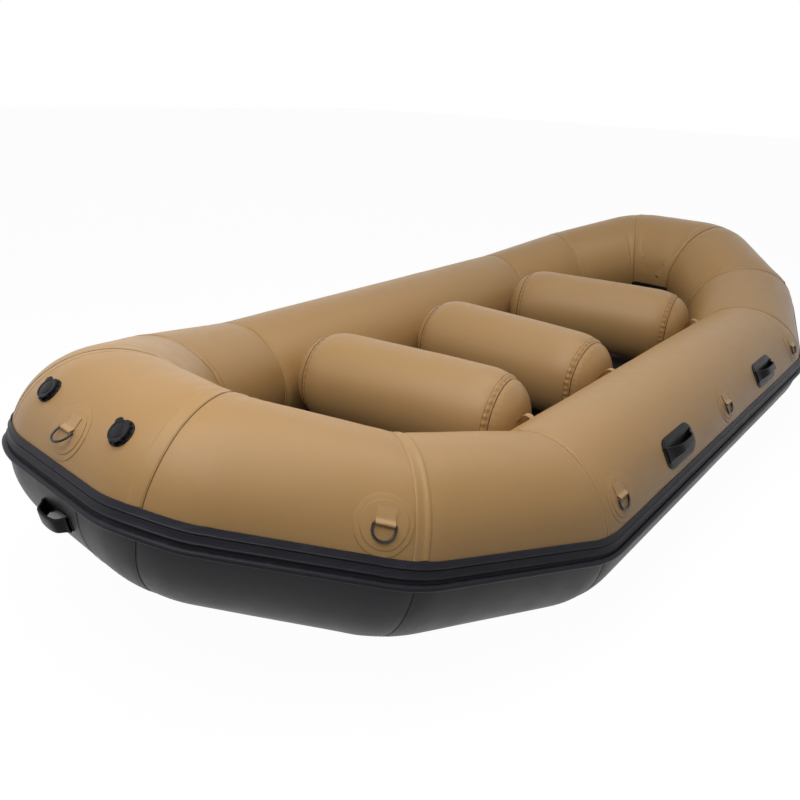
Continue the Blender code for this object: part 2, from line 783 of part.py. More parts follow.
def conformed_disc(name, along, angle, radius, sides, material):
    """A thin round patch that follows the tube's skin."""
    shape = bmesh.new()
    line = [shape.verts.new((radius * share, 0, 0)) for share in (0, 1 / 2, 1)]
    edges = [shape.edges.new(pair) for pair in zip(line, line[1:])]
    bmesh.ops.spin(
        shape, geom=line + edges, cent=(0, 0, 0), axis=(0, 0, 1), angle=2 * math.pi, steps=sides
    )
    bmesh.ops.remove_doubles(shape, verts=shape.verts, dist=MERGE_DISTANCE)
    tube_radius = HULL.at(along).radius
    for vert in shape.verts:
        a, b = vert.co.x, vert.co.y
        up_angle = angle + b / tube_radius
        vert.co = skin_point(HULL.at(HULL.walk(along, up_angle, a)), up_angle, PATCH_LIFT)
    out = surface_frame(along, angle).to_3x3().col[2]
    shape.normal_update()
    if sum(face.normal.dot(out) for face in shape.faces) < 0:
        bmesh.ops.reverse_faces(shape, faces=shape.faces)
    mesh = bpy.data.meshes.new(name)
    shape.to_mesh(mesh)
    shape.free()
    disc = add(name, mesh, material)
    solidify(disc, PATCH_THICKNESS, 1)
    return disc


def conformed_pad(name, along, angle, size, corner, thickness, material):
    """A thin pad with rounded corners that follows the tube's skin."""
    length, height = size
    tube_radius = HULL.at(along).radius
    levels = [
        (height / 2 - corner * (1 - math.sin(a)), corner * (1 - math.cos(a)))
        for a in spread(0, math.pi / 2, 2)
    ]
    heights = [(-b, inset) for b, inset in levels[::-1]] + [(0, 0)] + levels
    rows = []
    for b, inset in heights:
        half = length / 2 - inset
        up_angle = angle + b / tube_radius
        row = []
        for share in (1, 1 / 2, 0, -1 / 2, -1):
            station = HULL.at(HULL.walk(along, up_angle, half * share))
            row.append(skin_point(station, up_angle, PATCH_LIFT))
        rows.append(row)
    pad = grid(name, rows, material)
    solidify(pad, thickness, 1)
    return pad


def mesh_of(thing):
    """Turn a curve object into a mesh object with welded caps, in the same place."""
    bpy.context.view_layer.update()
    depsgraph = bpy.context.evaluated_depsgraph_get()
    mesh = bpy.data.meshes.new_from_object(thing.evaluated_get(depsgraph))
    shape = bmesh.new()
    shape.from_mesh(mesh)
    bmesh.ops.remove_doubles(shape, verts=shape.verts, dist=MERGE_DISTANCE)
    bmesh.ops.recalc_face_normals(shape, faces=shape.faces)
    shape.to_mesh(mesh)
    shape.free()
    result = bpy.data.objects.new(thing.name, mesh)
    RAFT.objects.link(result)
    result.matrix_world = thing.matrix_world.copy()
    bpy.data.objects.remove(thing)
    return result


def extruded(name, outlines, depth, material):
    """A flat outline with its holes, given as loops of (x, y) points, extruded about z = 0."""
    curve = bpy.data.curves.new(name, "CURVE")
    curve.dimensions = "2D"
    curve.fill_mode = "BOTH"
    curve.extrude = depth / 2
    for outline in outlines:
        spline = curve.splines.new("POLY")
        spline.points.add(len(outline) - 1)
        for point, (x, y) in zip(spline.points, outline):
            point.co = (x, y, 0, 1)
        spline.use_cyclic_u = True
    return add(name, curve, material)


def arc(cx, cy, radius, start, stop, steps):
    """Points of a flat arc about a centre."""
    return [(cx + radius * math.cos(a), cy + radius * math.sin(a)) for a in spread(start, stop, steps)]


def bridge_outline(span, rise, thickness, foot):
    """Side outline of a bridge grip: flat top, round shoulders and two feet."""
    half = span / 2
    shoulder = rise - foot
    outer = arc(half - shoulder, foot, shoulder, 0, math.pi / 2, 3)
    inner = arc(half - shoulder, foot, shoulder - thickness, math.pi / 2, 0, 3)
    over = [(-x, y) for x, y in outer] + outer[::-1]
    back = inner[::-1] + [(-x, y) for x, y in inner]
    return over + back


def make_handle(name, along, angle, pad, grip, material):
    """A pad on the skin with a bridge grip that stands out of it, joined in one piece."""
    size, corner, pad_thickness = pad
    span, width, thickness, rise = grip
    base = conformed_pad(name, along, angle, size, corner, pad_thickness, material)
    frame = surface_frame(along, angle)
    levels = []
    for reach in ((span - thickness) / 2, (thickness - span) / 2):
        middle_of_pad = skin_point(
            HULL.at(HULL.walk(along, angle, reach)), angle, PATCH_LIFT + pad_thickness / 2
        )
        levels.append((frame.inverted() @ middle_of_pad).z)
    outline = bridge_outline(span, rise, thickness, min(levels))
    bridge = extruded(f"{name}_bridge", [outline], width, None)
    place(bridge, frame @ Matrix.Rotation(math.pi / 2, 4, "X"))
    combine(base, mesh_of(bridge), "UNION")
    return base


def ring_points():
    """Centre line of a D-ring: the bar along X at y = 0, the bow of the D below it."""
    half, corner = RING_HALF_WIDTH, RING_CORNER
    points = arc(half - corner, -corner, corner, math.pi / 2, 0, 2)
    points += arc(0, -corner - RING_ARM, half, 0, -math.pi, 6)
    points += arc(corner - half, -corner, corner, math.pi, math.pi / 2, 2)
    return points


def webbing_outlines(tube_radius):
    """Side outline of the webbing: a tab on the patch and a loop round the ring's bar."""
    base = PATCH_LIFT + PATCH_THICKNESS / 2
    hole = RING_WIRE_RADIUS + RING_HOLE_CLEARANCE
    outer = hole + WEBBING_THICKNESS
    lower, upper = [], []
    for v in spread(WEBBING_TAB, outer * 2, 3):
        drop = tube_radius * (1 - math.cos(v / tube_radius))
        lower.append((v, base - drop))
        upper.append((v, base - drop + WEBBING_THICKNESS))
    loop = arc(0, base + outer, outer, math.radians(270), math.radians(90), 4)
    turns = spread(0, 2 * math.pi, SMALL_SIDES)[:-1]
    corner = hole / math.cos(math.pi / SMALL_SIDES)
    bore = [(corner * math.cos(a), base + outer + corner * math.sin(a)) for a in turns]
    return [lower + loop + upper[::-1], bore]


def make_ring_set(name, along, angle, lift):
    """One D-ring set; the ring turns about its bar in the webbing loop and starts lifted."""
    frame = surface_frame(along, angle)
    mount = conformed_disc(f"{name}_mount", along, angle, PATCH_RADIUS, PATCH_SIDES, TAN_FABRIC)
    outlines = webbing_outlines(HULL.at(along).radius)
    webbing = extruded(f"{name}_webbing", outlines, WEBBING_WIDTH, None)
    side_on = Matrix(((0, 0, 1, 0), (1, 0, 0, 0), (0, 1, 0, 0), (0, 0, 0, 1)))
    combine(mount, mesh_of(place(webbing, frame @ side_on)), "UNION")
    bar_height = PATCH_LIFT + PATCH_THICKNESS / 2
    bar_height += RING_WIRE_RADIUS + RING_HOLE_CLEARANCE + WEBBING_THICKNESS
    empty = hinge_empty(f"{name}_hinge", frame @ Matrix.Translation((0, 0, bar_height)))
    curve = bpy.data.curves.new(name, "CURVE")
    curve.dimensions = "3D"
    curve.bevel_depth = RING_WIRE_RADIUS
    curve.bevel_resolution = 1
    spline = curve.splines.new("POLY")
    points = ring_points()
    spline.points.add(len(points) - 1)
    for point, (x, y) in zip(spline.points, points):
        point.co = (x, y, 0, 1)
    spline.use_cyclic_u = True
    ring = add(name, curve, BLACK_WIRE)
    carry(ring, empty, Matrix.Rotation(-lift, 4, "X"))


def seated(frame, panel, radius):
    """The frame moved along its Z to where a disc of the radius just clears a panel."""
    bpy.context.view_layer.update()
    tree = BVHTree.FromObject(panel, bpy.context.evaluated_depsgraph_get())
    out = frame.to_3x3().col[2]
    count = 36
    highest = -radius
    for i in range(-count, count + 1):
        for j in range(-count, count + 1):
            if i * i + j * j > count * count:
                continue
            above = frame @ Vector((radius * i / count, radius * j / count, radius))
            distance = tree.ray_cast(above, -out)[3]
            if distance is not None:
                highest = max(highest, radius - distance)
    return frame @ Matrix.Translation((0, 0, highest + REST_GAP))


def hinge_place():
    """Radius and height of a valve cap's hinge axis from the valve's centre and seat."""
    height = FLANGE_THICKNESS + COLLAR_HEIGHT + REST_GAP + CAP_THICKNESS / 2
    return CAP_RADIUS + HINGE_RADIUS + HINGE_GAP, height


def valve_body():
    """Screwed chamber valve body: flange, collar, seat plate with holes, neck and hinge ears."""
    top = FLANGE_THICKNESS + COLLAR_HEIGHT
    seat_low = -SEAT_DEPTH - SEAT_THICKNESS
    guide = STEM_RADIUS + STEM_CLEARANCE
    profile = [
        (BORE_RADIUS, top),
        (COLLAR_RADIUS, top),
        (COLLAR_RADIUS, FLANGE_THICKNESS),
        (FLANGE_RADIUS, FLANGE_THICKNESS),
        (FLANGE_RADIUS, 0),
        (NECK_RADIUS, 0),
        (NECK_RADIUS, -NECK_DEPTH),
        (BORE_RADIUS, -NECK_DEPTH),
        (BORE_RADIUS, seat_low),
        (guide, seat_low),
        (guide, -SEAT_DEPTH),
        (BORE_RADIUS, -SEAT_DEPTH),
    ]
    body = turned("valve_body", profile, VALVE_SIDES, BLACK_PLASTIC, closed=True)
    hole_circle = (guide + BORE_RADIUS) / 2
    for k in range(AIR_HOLES):
        low, high = seat_low - SEAT_THICKNESS, SEAT_THICKNESS - SEAT_DEPTH
        hole = cylinder(f"air_hole_{k}", AIR_HOLE_RADIUS, low, high, SMALL_SIDES, None, CUTTERS)
        around = Matrix.Rotation(2 * math.pi * k / AIR_HOLES, 4, "Z")
        place(hole, around @ Matrix.Translation((hole_circle, 0, 0)))
        combine(body, hole, "DIFFERENCE")
    reach, height = hinge_place()
    ear_top = height + HINGE_RADIUS
    for side in (1, -1):
        y = side * (HINGE_LENGTH / 2 + REST_GAP + HINGE_EAR_LENGTH / 2)
        size = (2 * HINGE_RADIUS, HINGE_EAR_LENGTH, ear_top - FLANGE_THICKNESS / 2)
        ear = box(f"ear_{side}", size, (reach, y, (ear_top + FLANGE_THICKNESS / 2) / 2), None)
        combine(body, ear, "UNION")
    span = HINGE_LENGTH / 2 + HINGE_EAR_LENGTH + REST_GAP
    bore_radius = HINGE_PIN_RADIUS + HINGE_PIN_CLEARANCE
    bore = cylinder("pin_bore", bore_radius, -2 * span, 2 * span, SMALL_SIDES, None, CUTTERS)
    place(bore, Matrix.Translation((reach, 0, height)) @ Matrix.Rotation(math.pi / 2, 4, "X"))
    combine(body, bore, "DIFFERENCE")
    return body


def valve_cap():
    """Flip cap with a plug skirt, a lift tab, and a knuckle whose pin turns in the ears."""
    low = FLANGE_THICKNESS + COLLAR_HEIGHT + REST_GAP
    top = low + CAP_THICKNESS
    plug = low - CAP_PLUG_DEPTH
    profile = [
        (0, top),
        (CAP_RADIUS - CAP_EDGE, top),
        (CAP_RADIUS, top - CAP_EDGE),
        (CAP_RADIUS, low),
        (CAP_PLUG_RADIUS, low),
        (CAP_PLUG_RADIUS, plug),
        (CAP_RECESS_RADIUS, plug),
        (CAP_RECESS_RADIUS, low),
        (0, low),
    ]
    cap = turned("valve_cap", profile, VALVE_SIDES, BLACK_PLASTIC)
    reach, height = hinge_place()
    knuckle = cylinder("knuckle", HINGE_RADIUS, -HINGE_LENGTH / 2, HINGE_LENGTH / 2, SMALL_SIDES, None)
    lie = Matrix.Translation((reach, 0, height)) @ Matrix.Rotation(math.pi / 2, 4, "X")
    combine(cap, place(knuckle, lie), "UNION")
    neck_size = (reach - CAP_RADIUS + 2 * CAP_EDGE, HINGE_LENGTH, HINGE_RADIUS)
    neck = box("cap_neck", neck_size, (reach - neck_size[0] / 2, 0, height), None)
    combine(cap, neck, "UNION")
    pin_half = HINGE_LENGTH / 2 + HINGE_EAR_LENGTH
    pin = cylinder("cap_pin", HINGE_PIN_RADIUS, -pin_half, pin_half, SMALL_SIDES, None)
    combine(cap, place(pin, lie), "UNION")
    tab_size = (CAP_TAB_LENGTH + 2 * CAP_EDGE, CAP_TAB_WIDTH, CAP_TAB_THICKNESS)
    tab_x = -CAP_RADIUS - CAP_TAB_LENGTH + tab_size[0] / 2
    tab = box("cap_tab", tab_size, (tab_x, 0, top - CAP_EDGE - CAP_TAB_THICKNESS / 2), None)
    combine(cap, tab, "UNION")
    return cap


def valve_poppet():
    """Sprung poppet: push button, stem through the seat plate, and sealing disc below it."""
    button_low = -SEAT_DEPTH + POPPET_TRAVEL + REST_GAP
    disc_top = -SEAT_DEPTH - SEAT_THICKNESS - REST_GAP
    profile = [
        (0, button_low + BUTTON_HEIGHT),
        (BUTTON_RADIUS, button_low + BUTTON_HEIGHT),
        (BUTTON_RADIUS, button_low),
        (STEM_RADIUS, button_low),
        (STEM_RADIUS, disc_top),
        (POPPET_RADIUS, disc_top),
        (POPPET_RADIUS, disc_top - POPPET_THICKNESS),
        (0, disc_top - POPPET_THICKNESS),
    ]
    return turned("valve_poppet", profile, VALVE_SIDES, BLACK_PLASTIC)


def mesh_copy(name, pattern, matrix, material):
    """A new object that shares a pattern's finished mesh, at a place of its own."""
    bpy.context.view_layer.update()
    depsgraph = bpy.context.evaluated_depsgraph_get()
    mesh = bpy.data.meshes.new_from_object(pattern.evaluated_get(depsgraph))
    mesh.materials.clear()
    return place(add(name, mesh, material), matrix)


def make_chamber_valves(skins):
    """Two chamber valves on the bow and two on the stern, with caps and poppets that move."""
    body, cap, poppet = valve_body(), valve_cap(), valve_poppet()
    half = HULL.length / 2
    for end, middle in (("bow", 0), ("stern", half)):
        panel = skins[end]
        for side, turn_side in (("port", 1), ("starboard", -1)):
            along_side = turn_side if end == "bow" else -turn_side
            station = HULL.at(middle)
            angle = station.strake + VALVE_RISE / station.radius
            along = HULL.walk(middle, angle, along_side * VALVE_FROM_CENTRE)
            frame = surface_frame(along, angle) @ Matrix.Rotation(VALVE_TURN, 4, "Z")
            name = f"{end}_{side}_valve"
            hole_radius = NECK_RADIUS + HOLE_CLEARANCE
            depth = NECK_DEPTH + FLANGE_THICKNESS
            hole = cylinder(f"{name}_hole", hole_radius, -depth, depth, VALVE_SIDES, None, CUTTERS)
            frame = seated(frame, panel, FLANGE_RADIUS)
            combine(panel, place(hole, frame), "DIFFERENCE")
            mesh_copy(f"{name}_body", body, frame, BLACK_PLASTIC)
            reach, height = hinge_place()
            hinge = hinge_empty(f"{name}_cap_hinge", frame @ Matrix.Translation((reach, 0, height)))
            flap = mesh_copy(f"{name}_cap", cap, Matrix.Identity(4), BLACK_PLASTIC)
            carry(flap, hinge, Matrix.Translation((-reach, 0, -height)))
            slide = hinge_empty(f"{name}_poppet_slide", frame)
            button = mesh_copy(f"{name}_poppet", poppet, Matrix.Identity(4), BLACK_PLASTIC)
            carry(button, slide, Matrix.Identity(4))
    for pattern in (body, cap, poppet):
        remove_pattern(pattern)


def remove_pattern(pattern):
    """Remove a pattern object and the bodies that its Booleans used."""
    used = [m.object for m in pattern.modifiers if m.type == "BOOLEAN"]
    for thing in [pattern, *used]:
        bpy.data.objects.remove(thing)


def fitting_angle(along):
    """Angle of the middle of the fittings' row above the strake."""
    station = HULL.at(along)
    return station.strake + FITTING_RISE / station.radius


def make_rings():
    """Twelve D-ring sets: bow, stern, and five along each side."""
    seams = HULL.seam_along
    half = HULL.length / 2
    sides = {
        "bow_quarter": seams[1] - QUARTER_RING_FROM_SEAM,
        "side_bow": seams[2] + SIDE_RING_FROM_SEAM,
        "side_middle": half / 2,
        "side_stern": seams[3] - SIDE_RING_FROM_SEAM,
        "stern_quarter": seams[4] + QUARTER_RING_FROM_SEAM,
    }
    places = {"bow_d_ring": (0, BOW_RING_LIFT), "stern_d_ring": (half, RING_REST_LIFT)}
    for name, along in sides.items():
        places[f"port_{name}_d_ring"] = (along, RING_REST_LIFT)
        places[f"starboard_{name}_d_ring"] = (HULL.length - along, RING_REST_LIFT)
    for name, (along, lift) in places.items():
        make_ring_set(name, along, fitting_angle(along), lift)


def make_handles():
    """Four carry handles on the sides and a tow handle under each end."""
    half = HULL.length / 2
    pad = ((HANDLE_LENGTH, HANDLE_HEIGHT), HANDLE_CORNER_RADIUS, HANDLE_PAD_THICKNESS)
    grip = (GRIP_SPAN, GRIP_WIDTH, GRIP_THICKNESS, GRIP_RISE)
    for name, along in (("bow", half / 2 - HANDLE_FROM_MIDDLE), ("stern", half / 2 + HANDLE_FROM_MIDDLE)):
        for side, place_along in (("port", along), ("starboard", HULL.length - along)):
            angle = fitting_angle(place_along)
            make_handle(f"{side}_{name}_carry_handle", place_along, angle, pad, grip, BLACK_RUBBER)
    pad = ((TOW_PAD_LENGTH, TOW_PAD_HEIGHT), TOW_PAD_CORNER_RADIUS, HANDLE_PAD_THICKNESS)
    grip = (TOW_GRIP_SPAN, TOW_GRIP_WIDTH, TOW_GRIP_THICKNESS, TOW_GRIP_RISE)
    for name, along in (("bow_tow_handle", 0), ("stern_tow_handle", half)):
        make_handle(name, along, TOW_ANGLE, pad, grip, BLACK_RUBBER)


def main():
    """Build the raft from its skin inward and outward."""
    skins = make_tube_skins()
    make_strake()
    add_baffles(skins)
    make_floor()
    make_thwart("bow_thwart", BOW_THWART_X, BOW_THWART_RISE, BOW_THWART_TURN)
    make_thwart("middle_thwart", MIDDLE_THWART_X, MIDDLE_THWART_RISE, MIDDLE_THWART_TURN)
    make_thwart("stern_thwart", STERN_THWART_X, STERN_THWART_RISE, STERN_THWART_TURN)
    make_rings()
    make_handles()
    make_chamber_valves(skins)


main()
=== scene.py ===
"""Dressed model of an inflatable river raft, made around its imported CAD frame.

Every piece is in metres in the frame's own axes: +X to the bow, +Y to port, +Z up.
"""

import json
import logging
import math
from bisect import bisect_right
from dataclasses import dataclass, field
from enum import Enum
from typing import Callable, ClassVar, Iterable, NamedTuple, Sequence

import bmesh
import bpy
import numpy as np
from mathutils import Matrix, Vector, noise


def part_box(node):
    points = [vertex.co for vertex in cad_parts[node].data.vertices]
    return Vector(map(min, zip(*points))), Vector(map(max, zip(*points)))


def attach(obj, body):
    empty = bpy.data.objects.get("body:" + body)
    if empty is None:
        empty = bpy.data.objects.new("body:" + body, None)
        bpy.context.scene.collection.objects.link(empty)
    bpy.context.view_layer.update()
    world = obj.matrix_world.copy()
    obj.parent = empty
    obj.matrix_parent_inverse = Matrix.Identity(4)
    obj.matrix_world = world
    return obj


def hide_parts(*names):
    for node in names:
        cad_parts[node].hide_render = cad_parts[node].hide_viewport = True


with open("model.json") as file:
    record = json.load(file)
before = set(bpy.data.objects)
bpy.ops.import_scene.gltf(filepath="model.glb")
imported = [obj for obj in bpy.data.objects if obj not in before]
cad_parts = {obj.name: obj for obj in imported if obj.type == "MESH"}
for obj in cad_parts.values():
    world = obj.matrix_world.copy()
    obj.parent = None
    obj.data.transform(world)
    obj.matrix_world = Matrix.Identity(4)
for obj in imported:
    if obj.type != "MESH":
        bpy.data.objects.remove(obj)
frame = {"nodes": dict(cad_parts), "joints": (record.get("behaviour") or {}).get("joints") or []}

LOG = logging.getLogger("raft")
DEGREE = math.pi / 180
QUARTER = math.pi / 2
TURN = 2 * math.pi
BODY = "raft"
MERGE = 0.00002
Point2 = tuple[float, float]
Point3 = tuple[float, float, float]
Thing = bpy.types.Object
Rows = list[list[Vector]]
Path = list[tuple[Vector, Vector]]
Hole = tuple[Matrix, float, float]
TAPE_PROFILE: list[Point2] = [(0, 0.5), (0.7, 0.5), (1, 0.3), (1, -0.3), (0.7, -0.5), (0, -0.5)]
THREAD_PROFILE: list[Point2] = [(0, 0.5), (0.8, 0.4), (0.8, -0.4), (0, -0.5)]
MADE: dict[str, bpy.types.Material] = {}


def linear(colour: Sequence[int]) -> Point3:
    """Linear light of an sRGB colour given as three whole numbers."""
    return tuple(((c / 255 + 0.055) / 1.055) ** 2.4 if c > 10 else c / 255 / 12.92 for c in colour)


def ease(low: float, high: float, value: float) -> float:
    """0 below low, 1 above high, and a smooth step between them."""
    share = min(max((value - low) / (high - low), 0), 1)
    return share * share * (3 - 2 * share)


def spread(start: float, stop: float, steps: int) -> list[float]:
    """Evenly spaced values from one to another, both ends included."""
    return [start + (stop - start) * k / steps for k in range(steps + 1)]


def arc(centre: Point2, radius: float, start: float, stop: float, steps: int) -> list[Point2]:
    """Points of a flat arc about a centre, with its angles in degrees."""
    turns = spread(start * DEGREE, stop * DEGREE, steps)
    return [(centre[0] + radius * math.cos(a), centre[1] + radius * math.sin(a)) for a in turns]


class Nodes:
    """A node tree with one method that makes any of its nodes."""

    def __init__(self, tree: bpy.types.NodeTree) -> None:
        """Wrap a tree."""
        self.tree = tree

    def make(self, kind: str, settings: dict | None = None, inputs: dict | None = None) -> bpy.types.Node:
        """Make a node.

        Args:
            kind: the node's type.
            settings: its properties, set first.
            inputs: values or links for its sockets, by name or number.

        Returns:
            The new node.
        """
        node = self.tree.nodes.new(kind)
        for key, value in (settings or {}).items():
            setattr(node, key, value)
        for key, value in (inputs or {}).items():
            value = getattr(value, "socket", value)
            if isinstance(value, bpy.types.NodeSocket):
                self.tree.links.new(value, node.inputs[key])
            else:
                node.inputs[key].default_value = value
        return node

    def value(self, socket: bpy.types.NodeSocket) -> "Value":
        """A socket as a number for expressions."""
        return Value(self, socket)


class Value:
    """A number socket that takes part in Python expressions."""

    def __init__(self, nodes: Nodes, socket: bpy.types.NodeSocket) -> None:
        """Wrap a socket of a tree."""
        self.nodes, self.socket = nodes, socket

    def join(self, operation: str, left: "Value | float", right: "Value | float") -> "Value":
        """Add a Math node on two operands."""
        node = self.nodes.make("ShaderNodeMath", {"operation": operation}, {0: left, 1: right})
        return Value(self.nodes, node.outputs[0])

    def __add__(self, other: "Value | float") -> "Value":
        """Sum."""
        return self.join("ADD", self, other)

    __radd__ = __add__

    def __sub__(self, other: "Value | float") -> "Value":
        """Difference."""
        return self.join("SUBTRACT", self, other)

    def __rsub__(self, other: float) -> "Value":
        """Difference from a plain number."""
        return self.join("SUBTRACT", other, self)

    def __mul__(self, other: "Value | float") -> "Value":
        """Product."""
        return self.join("MULTIPLY", self, other)

    __rmul__ = __mul__

    def eased(self, low: float, high: float) -> "Value":
        """0 below low, 1 above high, and a smooth step between them."""
        node = self.nodes.make("ShaderNodeMapRange", {"interpolation_type": "SMOOTHSTEP"},
                               {"Value": self, "From Min": low, "From Max": high})
        return Value(self.nodes, node.outputs["Result"])


@dataclass(frozen=True)
class Finish:
    """A surface finish; each kind fills in the sockets of a Principled shader."""

    name: str
    slot: str
    colour: tuple[int, int, int]
    roughness: float = 0.45
    shine: ClassVar[float] = 0.30

    def dress(self, nodes: Nodes, shader: bpy.types.Node) -> None:
        """Wire the finish's own patterns into the shader."""

    def material(self) -> bpy.types.Material:
        """The finish's material, made once.

        Returns:
            The material, shared by every piece of the finish.
        """
        if self.name in MADE:
            return MADE[self.name]
        material = MADE[self.name] = bpy.data.materials.new(self.name)
        material.use_nodes = True
        material.diffuse_color = (*linear(self.colour), 1)
        shader = material.node_tree.nodes["Principled BSDF"]
        shader.inputs["Base Color"].default_value = (*linear(self.colour), 1)
        shader.inputs["Roughness"].default_value = self.roughness
        shader.inputs["Specular IOR Level"].default_value = self.shine
        self.dress(Nodes(material.node_tree), shader)
        return material

    @staticmethod
    def cloudy(nodes: Nodes, place: bpy.types.NodeSocket, scale: float, detail: float = 2) -> Value:
        """Soft noise between 0 and 1 at a number of blotches per metre."""
        node = nodes.make("ShaderNodeTexNoise", None, {"Vector": place, "Scale": scale, "Detail": detail})
        return nodes.value(node.outputs["Fac"])

    def tinted(self, nodes: Nodes, mask: Value, share: float) -> bpy.types.NodeSocket:
        """The finish's colour, darker where a mask is low and lighter where it is high.

        Args:
            nodes: the material's nodes.
            mask: the mask, from 0 to 1.
            share: how much darker and lighter the colour gets.

        Returns:
            The colour's socket.
        """
        base = linear(self.colour)
        low, high = ([c * (1 + s * share) for c in base] for s in (-1, 1))
        inputs = {"Factor": mask, 6: (*low, 1), 7: (*high, 1)}
        return nodes.make("ShaderNodeMix", {"data_type": "RGBA"}, inputs).outputs[2]

    def wire(self, nodes: Nodes, shader: bpy.types.Node, tone: tuple[Value, float], rough: Value,
             bump: tuple[Value, float]) -> None:
        """Link colour, roughness and bump to the shader.

        Args:
            nodes: the material's nodes.
            shader: the Principled shader.
            tone: the mask of the colour and the share by which it varies.
            rough: the roughness.
            bump: the height in metres and the strength of the bump.
        """
        links = nodes.tree.links
        links.new(self.tinted(nodes, *tone), shader.inputs["Base Color"])
        links.new(rough.socket, shader.inputs["Roughness"])
        inputs = {"Height": bump[0], "Strength": bump[1], "Distance": 1.0}
        links.new(nodes.make("ShaderNodeBump", None, inputs).outputs[0], shader.inputs["Normal"])


@dataclass(frozen=True)
class CoatedFabric(Finish):
    """Coated boat fabric: fine weave, soft waviness, faint mottling and rubbed patches."""

    weave: float = 0.0021
    relief: float = 0.00010
    mottle: float = 0.045
    along_piece: bool = True
    ripple_height: ClassVar[float] = 0.0016
    rub_height: ClassVar[float] = 0.00025
    band_scale: ClassVar[float] = 0.314

    def threads(self, nodes: Nodes, flat: bpy.types.NodeSocket) -> Value:
        """The weave: two sets of threads that cross at a right angle.

        Args:
            nodes: the material's nodes.
            flat: the coordinates that the weave follows.

        Returns:
            The weave's height, from 0 to 1.
        """
        crossing = []
        for lean in (45, -45):
            leant = nodes.make("ShaderNodeMapping", None, {"Vector": flat, "Rotation": (0, 0, lean * DEGREE)})
            wave = nodes.make("ShaderNodeTexWave", {"wave_type": "BANDS", "bands_direction": "X"},
                              {"Vector": leant.outputs[0], "Scale": self.band_scale / self.weave,
                               "Distortion": 0.0})
            crossing.append(nodes.value(wave.outputs["Fac"]))
        return crossing[0] * crossing[1]

    def dress(self, nodes: Nodes, shader: bpy.types.Node) -> None:
        """Wire weave and waviness to the bump, and mottling to colour and roughness.

        Args:
            nodes: the material's nodes.
            shader: the Principled shader.
        """
        place = nodes.make("ShaderNodeTexCoord")
        solid = place.outputs["Object"]
        weave = self.threads(nodes, place.outputs["UV"] if self.along_piece else solid)
        blotch = self.cloudy(nodes, solid, 2.6, 3)
        rubbed = self.cloudy(nodes, solid, 17.0, 4)
        grime = self.cloudy(nodes, solid, 6.0, 5)
        ripple = self.cloudy(nodes, solid, 9.0, 2)
        tone = blotch * 0.6 + grime * 0.3 + weave * 0.1
        rough = (rubbed - 0.5) * 0.16 + (blotch - 0.5) * 0.12 + self.roughness
        height = weave * self.relief + ripple * self.ripple_height + rubbed * self.rub_height
        self.wire(nodes, shader, (tone, self.mottle), rough, (height, 0.6))


@dataclass(frozen=True)
class MouldedRubber(Finish):
    """Moulded rubber or vinyl: fine pebble grain, pale scuffs in streaks."""

    grain: float = 0.00006
    scuff: float = 0.22
    shine: ClassVar[float] = 0.12

    def dress(self, nodes: Nodes, shader: bpy.types.Node) -> None:
        """Wire grain to the bump, and scuffs to colour and roughness.

        Args:
            nodes: the material's nodes.
            shader: the Principled shader.
        """
        solid = nodes.make("ShaderNodeTexCoord").outputs["Object"]
        fine = self.cloudy(nodes, solid, 900.0, 2)
        streak = nodes.make("ShaderNodeMapping", None, {"Vector": solid, "Scale": (1.0, 1.0, 9.0)})
        worn = self.cloudy(nodes, streak.outputs[0], 14.0, 6).eased(0.48, 0.75)
        rough = worn * 0.14 + (fine - 0.5) * 0.08 + self.roughness
        self.wire(nodes, shader, (worn, self.scuff), rough, (fine * self.grain, 0.7))


@dataclass(frozen=True)
class CoatedWire(MouldedRubber):
    """Steel wire under a smooth black coat."""

    metallic: float = 0.35
    coat: float = 0.6
    coat_roughness: float = 0.18

    def dress(self, nodes: Nodes, shader: bpy.types.Node) -> None:
        """Add the metal under the coat to the rubber's patterns.

        Args:
            nodes: the material's nodes.
            shader: the Principled shader.
        """
        super().dress(nodes, shader)
        shader.inputs["Metallic"].default_value = self.metallic
        shader.inputs["Coat Weight"].default_value = self.coat
        shader.inputs["Coat Roughness"].default_value = self.coat_roughness


TAN = CoatedFabric("tan_boat_fabric", "tan_fabric", (169, 132, 84), 0.40)
TAN_ROUND = CoatedFabric("tan_thwart_fabric", "tan_fabric", (171, 135, 89), 0.40, along_piece=False)
TAN_TAPE = CoatedFabric("tan_tape", "tan_fabric", (171, 134, 86), 0.42, along_piece=False)
WEBBING = CoatedFabric("tan_webbing", "tan_fabric", (178, 142, 95), 0.40, 0.0016, 0.00018, along_piece=False)
GLUE = MouldedRubber("glue_line", "tan_fabric", (80, 54, 28), 0.60)
# FAINT_LINE also draws the painted shade along the lower edges of the ring patches.
FAINT_LINE = MouldedRubber("tape_edge", "tan_fabric", (126, 94, 56), 0.55)
DARK = CoatedFabric("dark_boat_fabric", "dark_fabric", (27, 26, 31), 0.46)
DARK_ROUND = CoatedFabric("dark_floor_fabric", "dark_fabric", (44, 43, 48), 0.5, along_piece=False)
DARK_TAPE = CoatedFabric("dark_tape", "dark_fabric", (26, 25, 30), 0.44, along_piece=False)
HULL_LINE = MouldedRubber("hull_seam_line", "dark_fabric", (22, 21, 24), 0.6)
STRAKE = MouldedRubber("strake_rubber", "strake_rubber", (43, 42, 48), 0.42)
RUBBER = MouldedRubber("handle_rubber", "black_rubber", (15, 15, 17), 0.33)
PLASTIC = MouldedRubber("valve_plastic", "black_plastic", (27, 26, 29), 0.26, 0.00003, 0.16)
CAP_PLASTIC = MouldedRubber("valve_cap_plastic", "black_plastic", (27, 26, 30), 0.34, 0.00005, 0.18)
WIRE = CoatedWire("coated_wire", "black_wire", (20, 19, 23), 0.26)


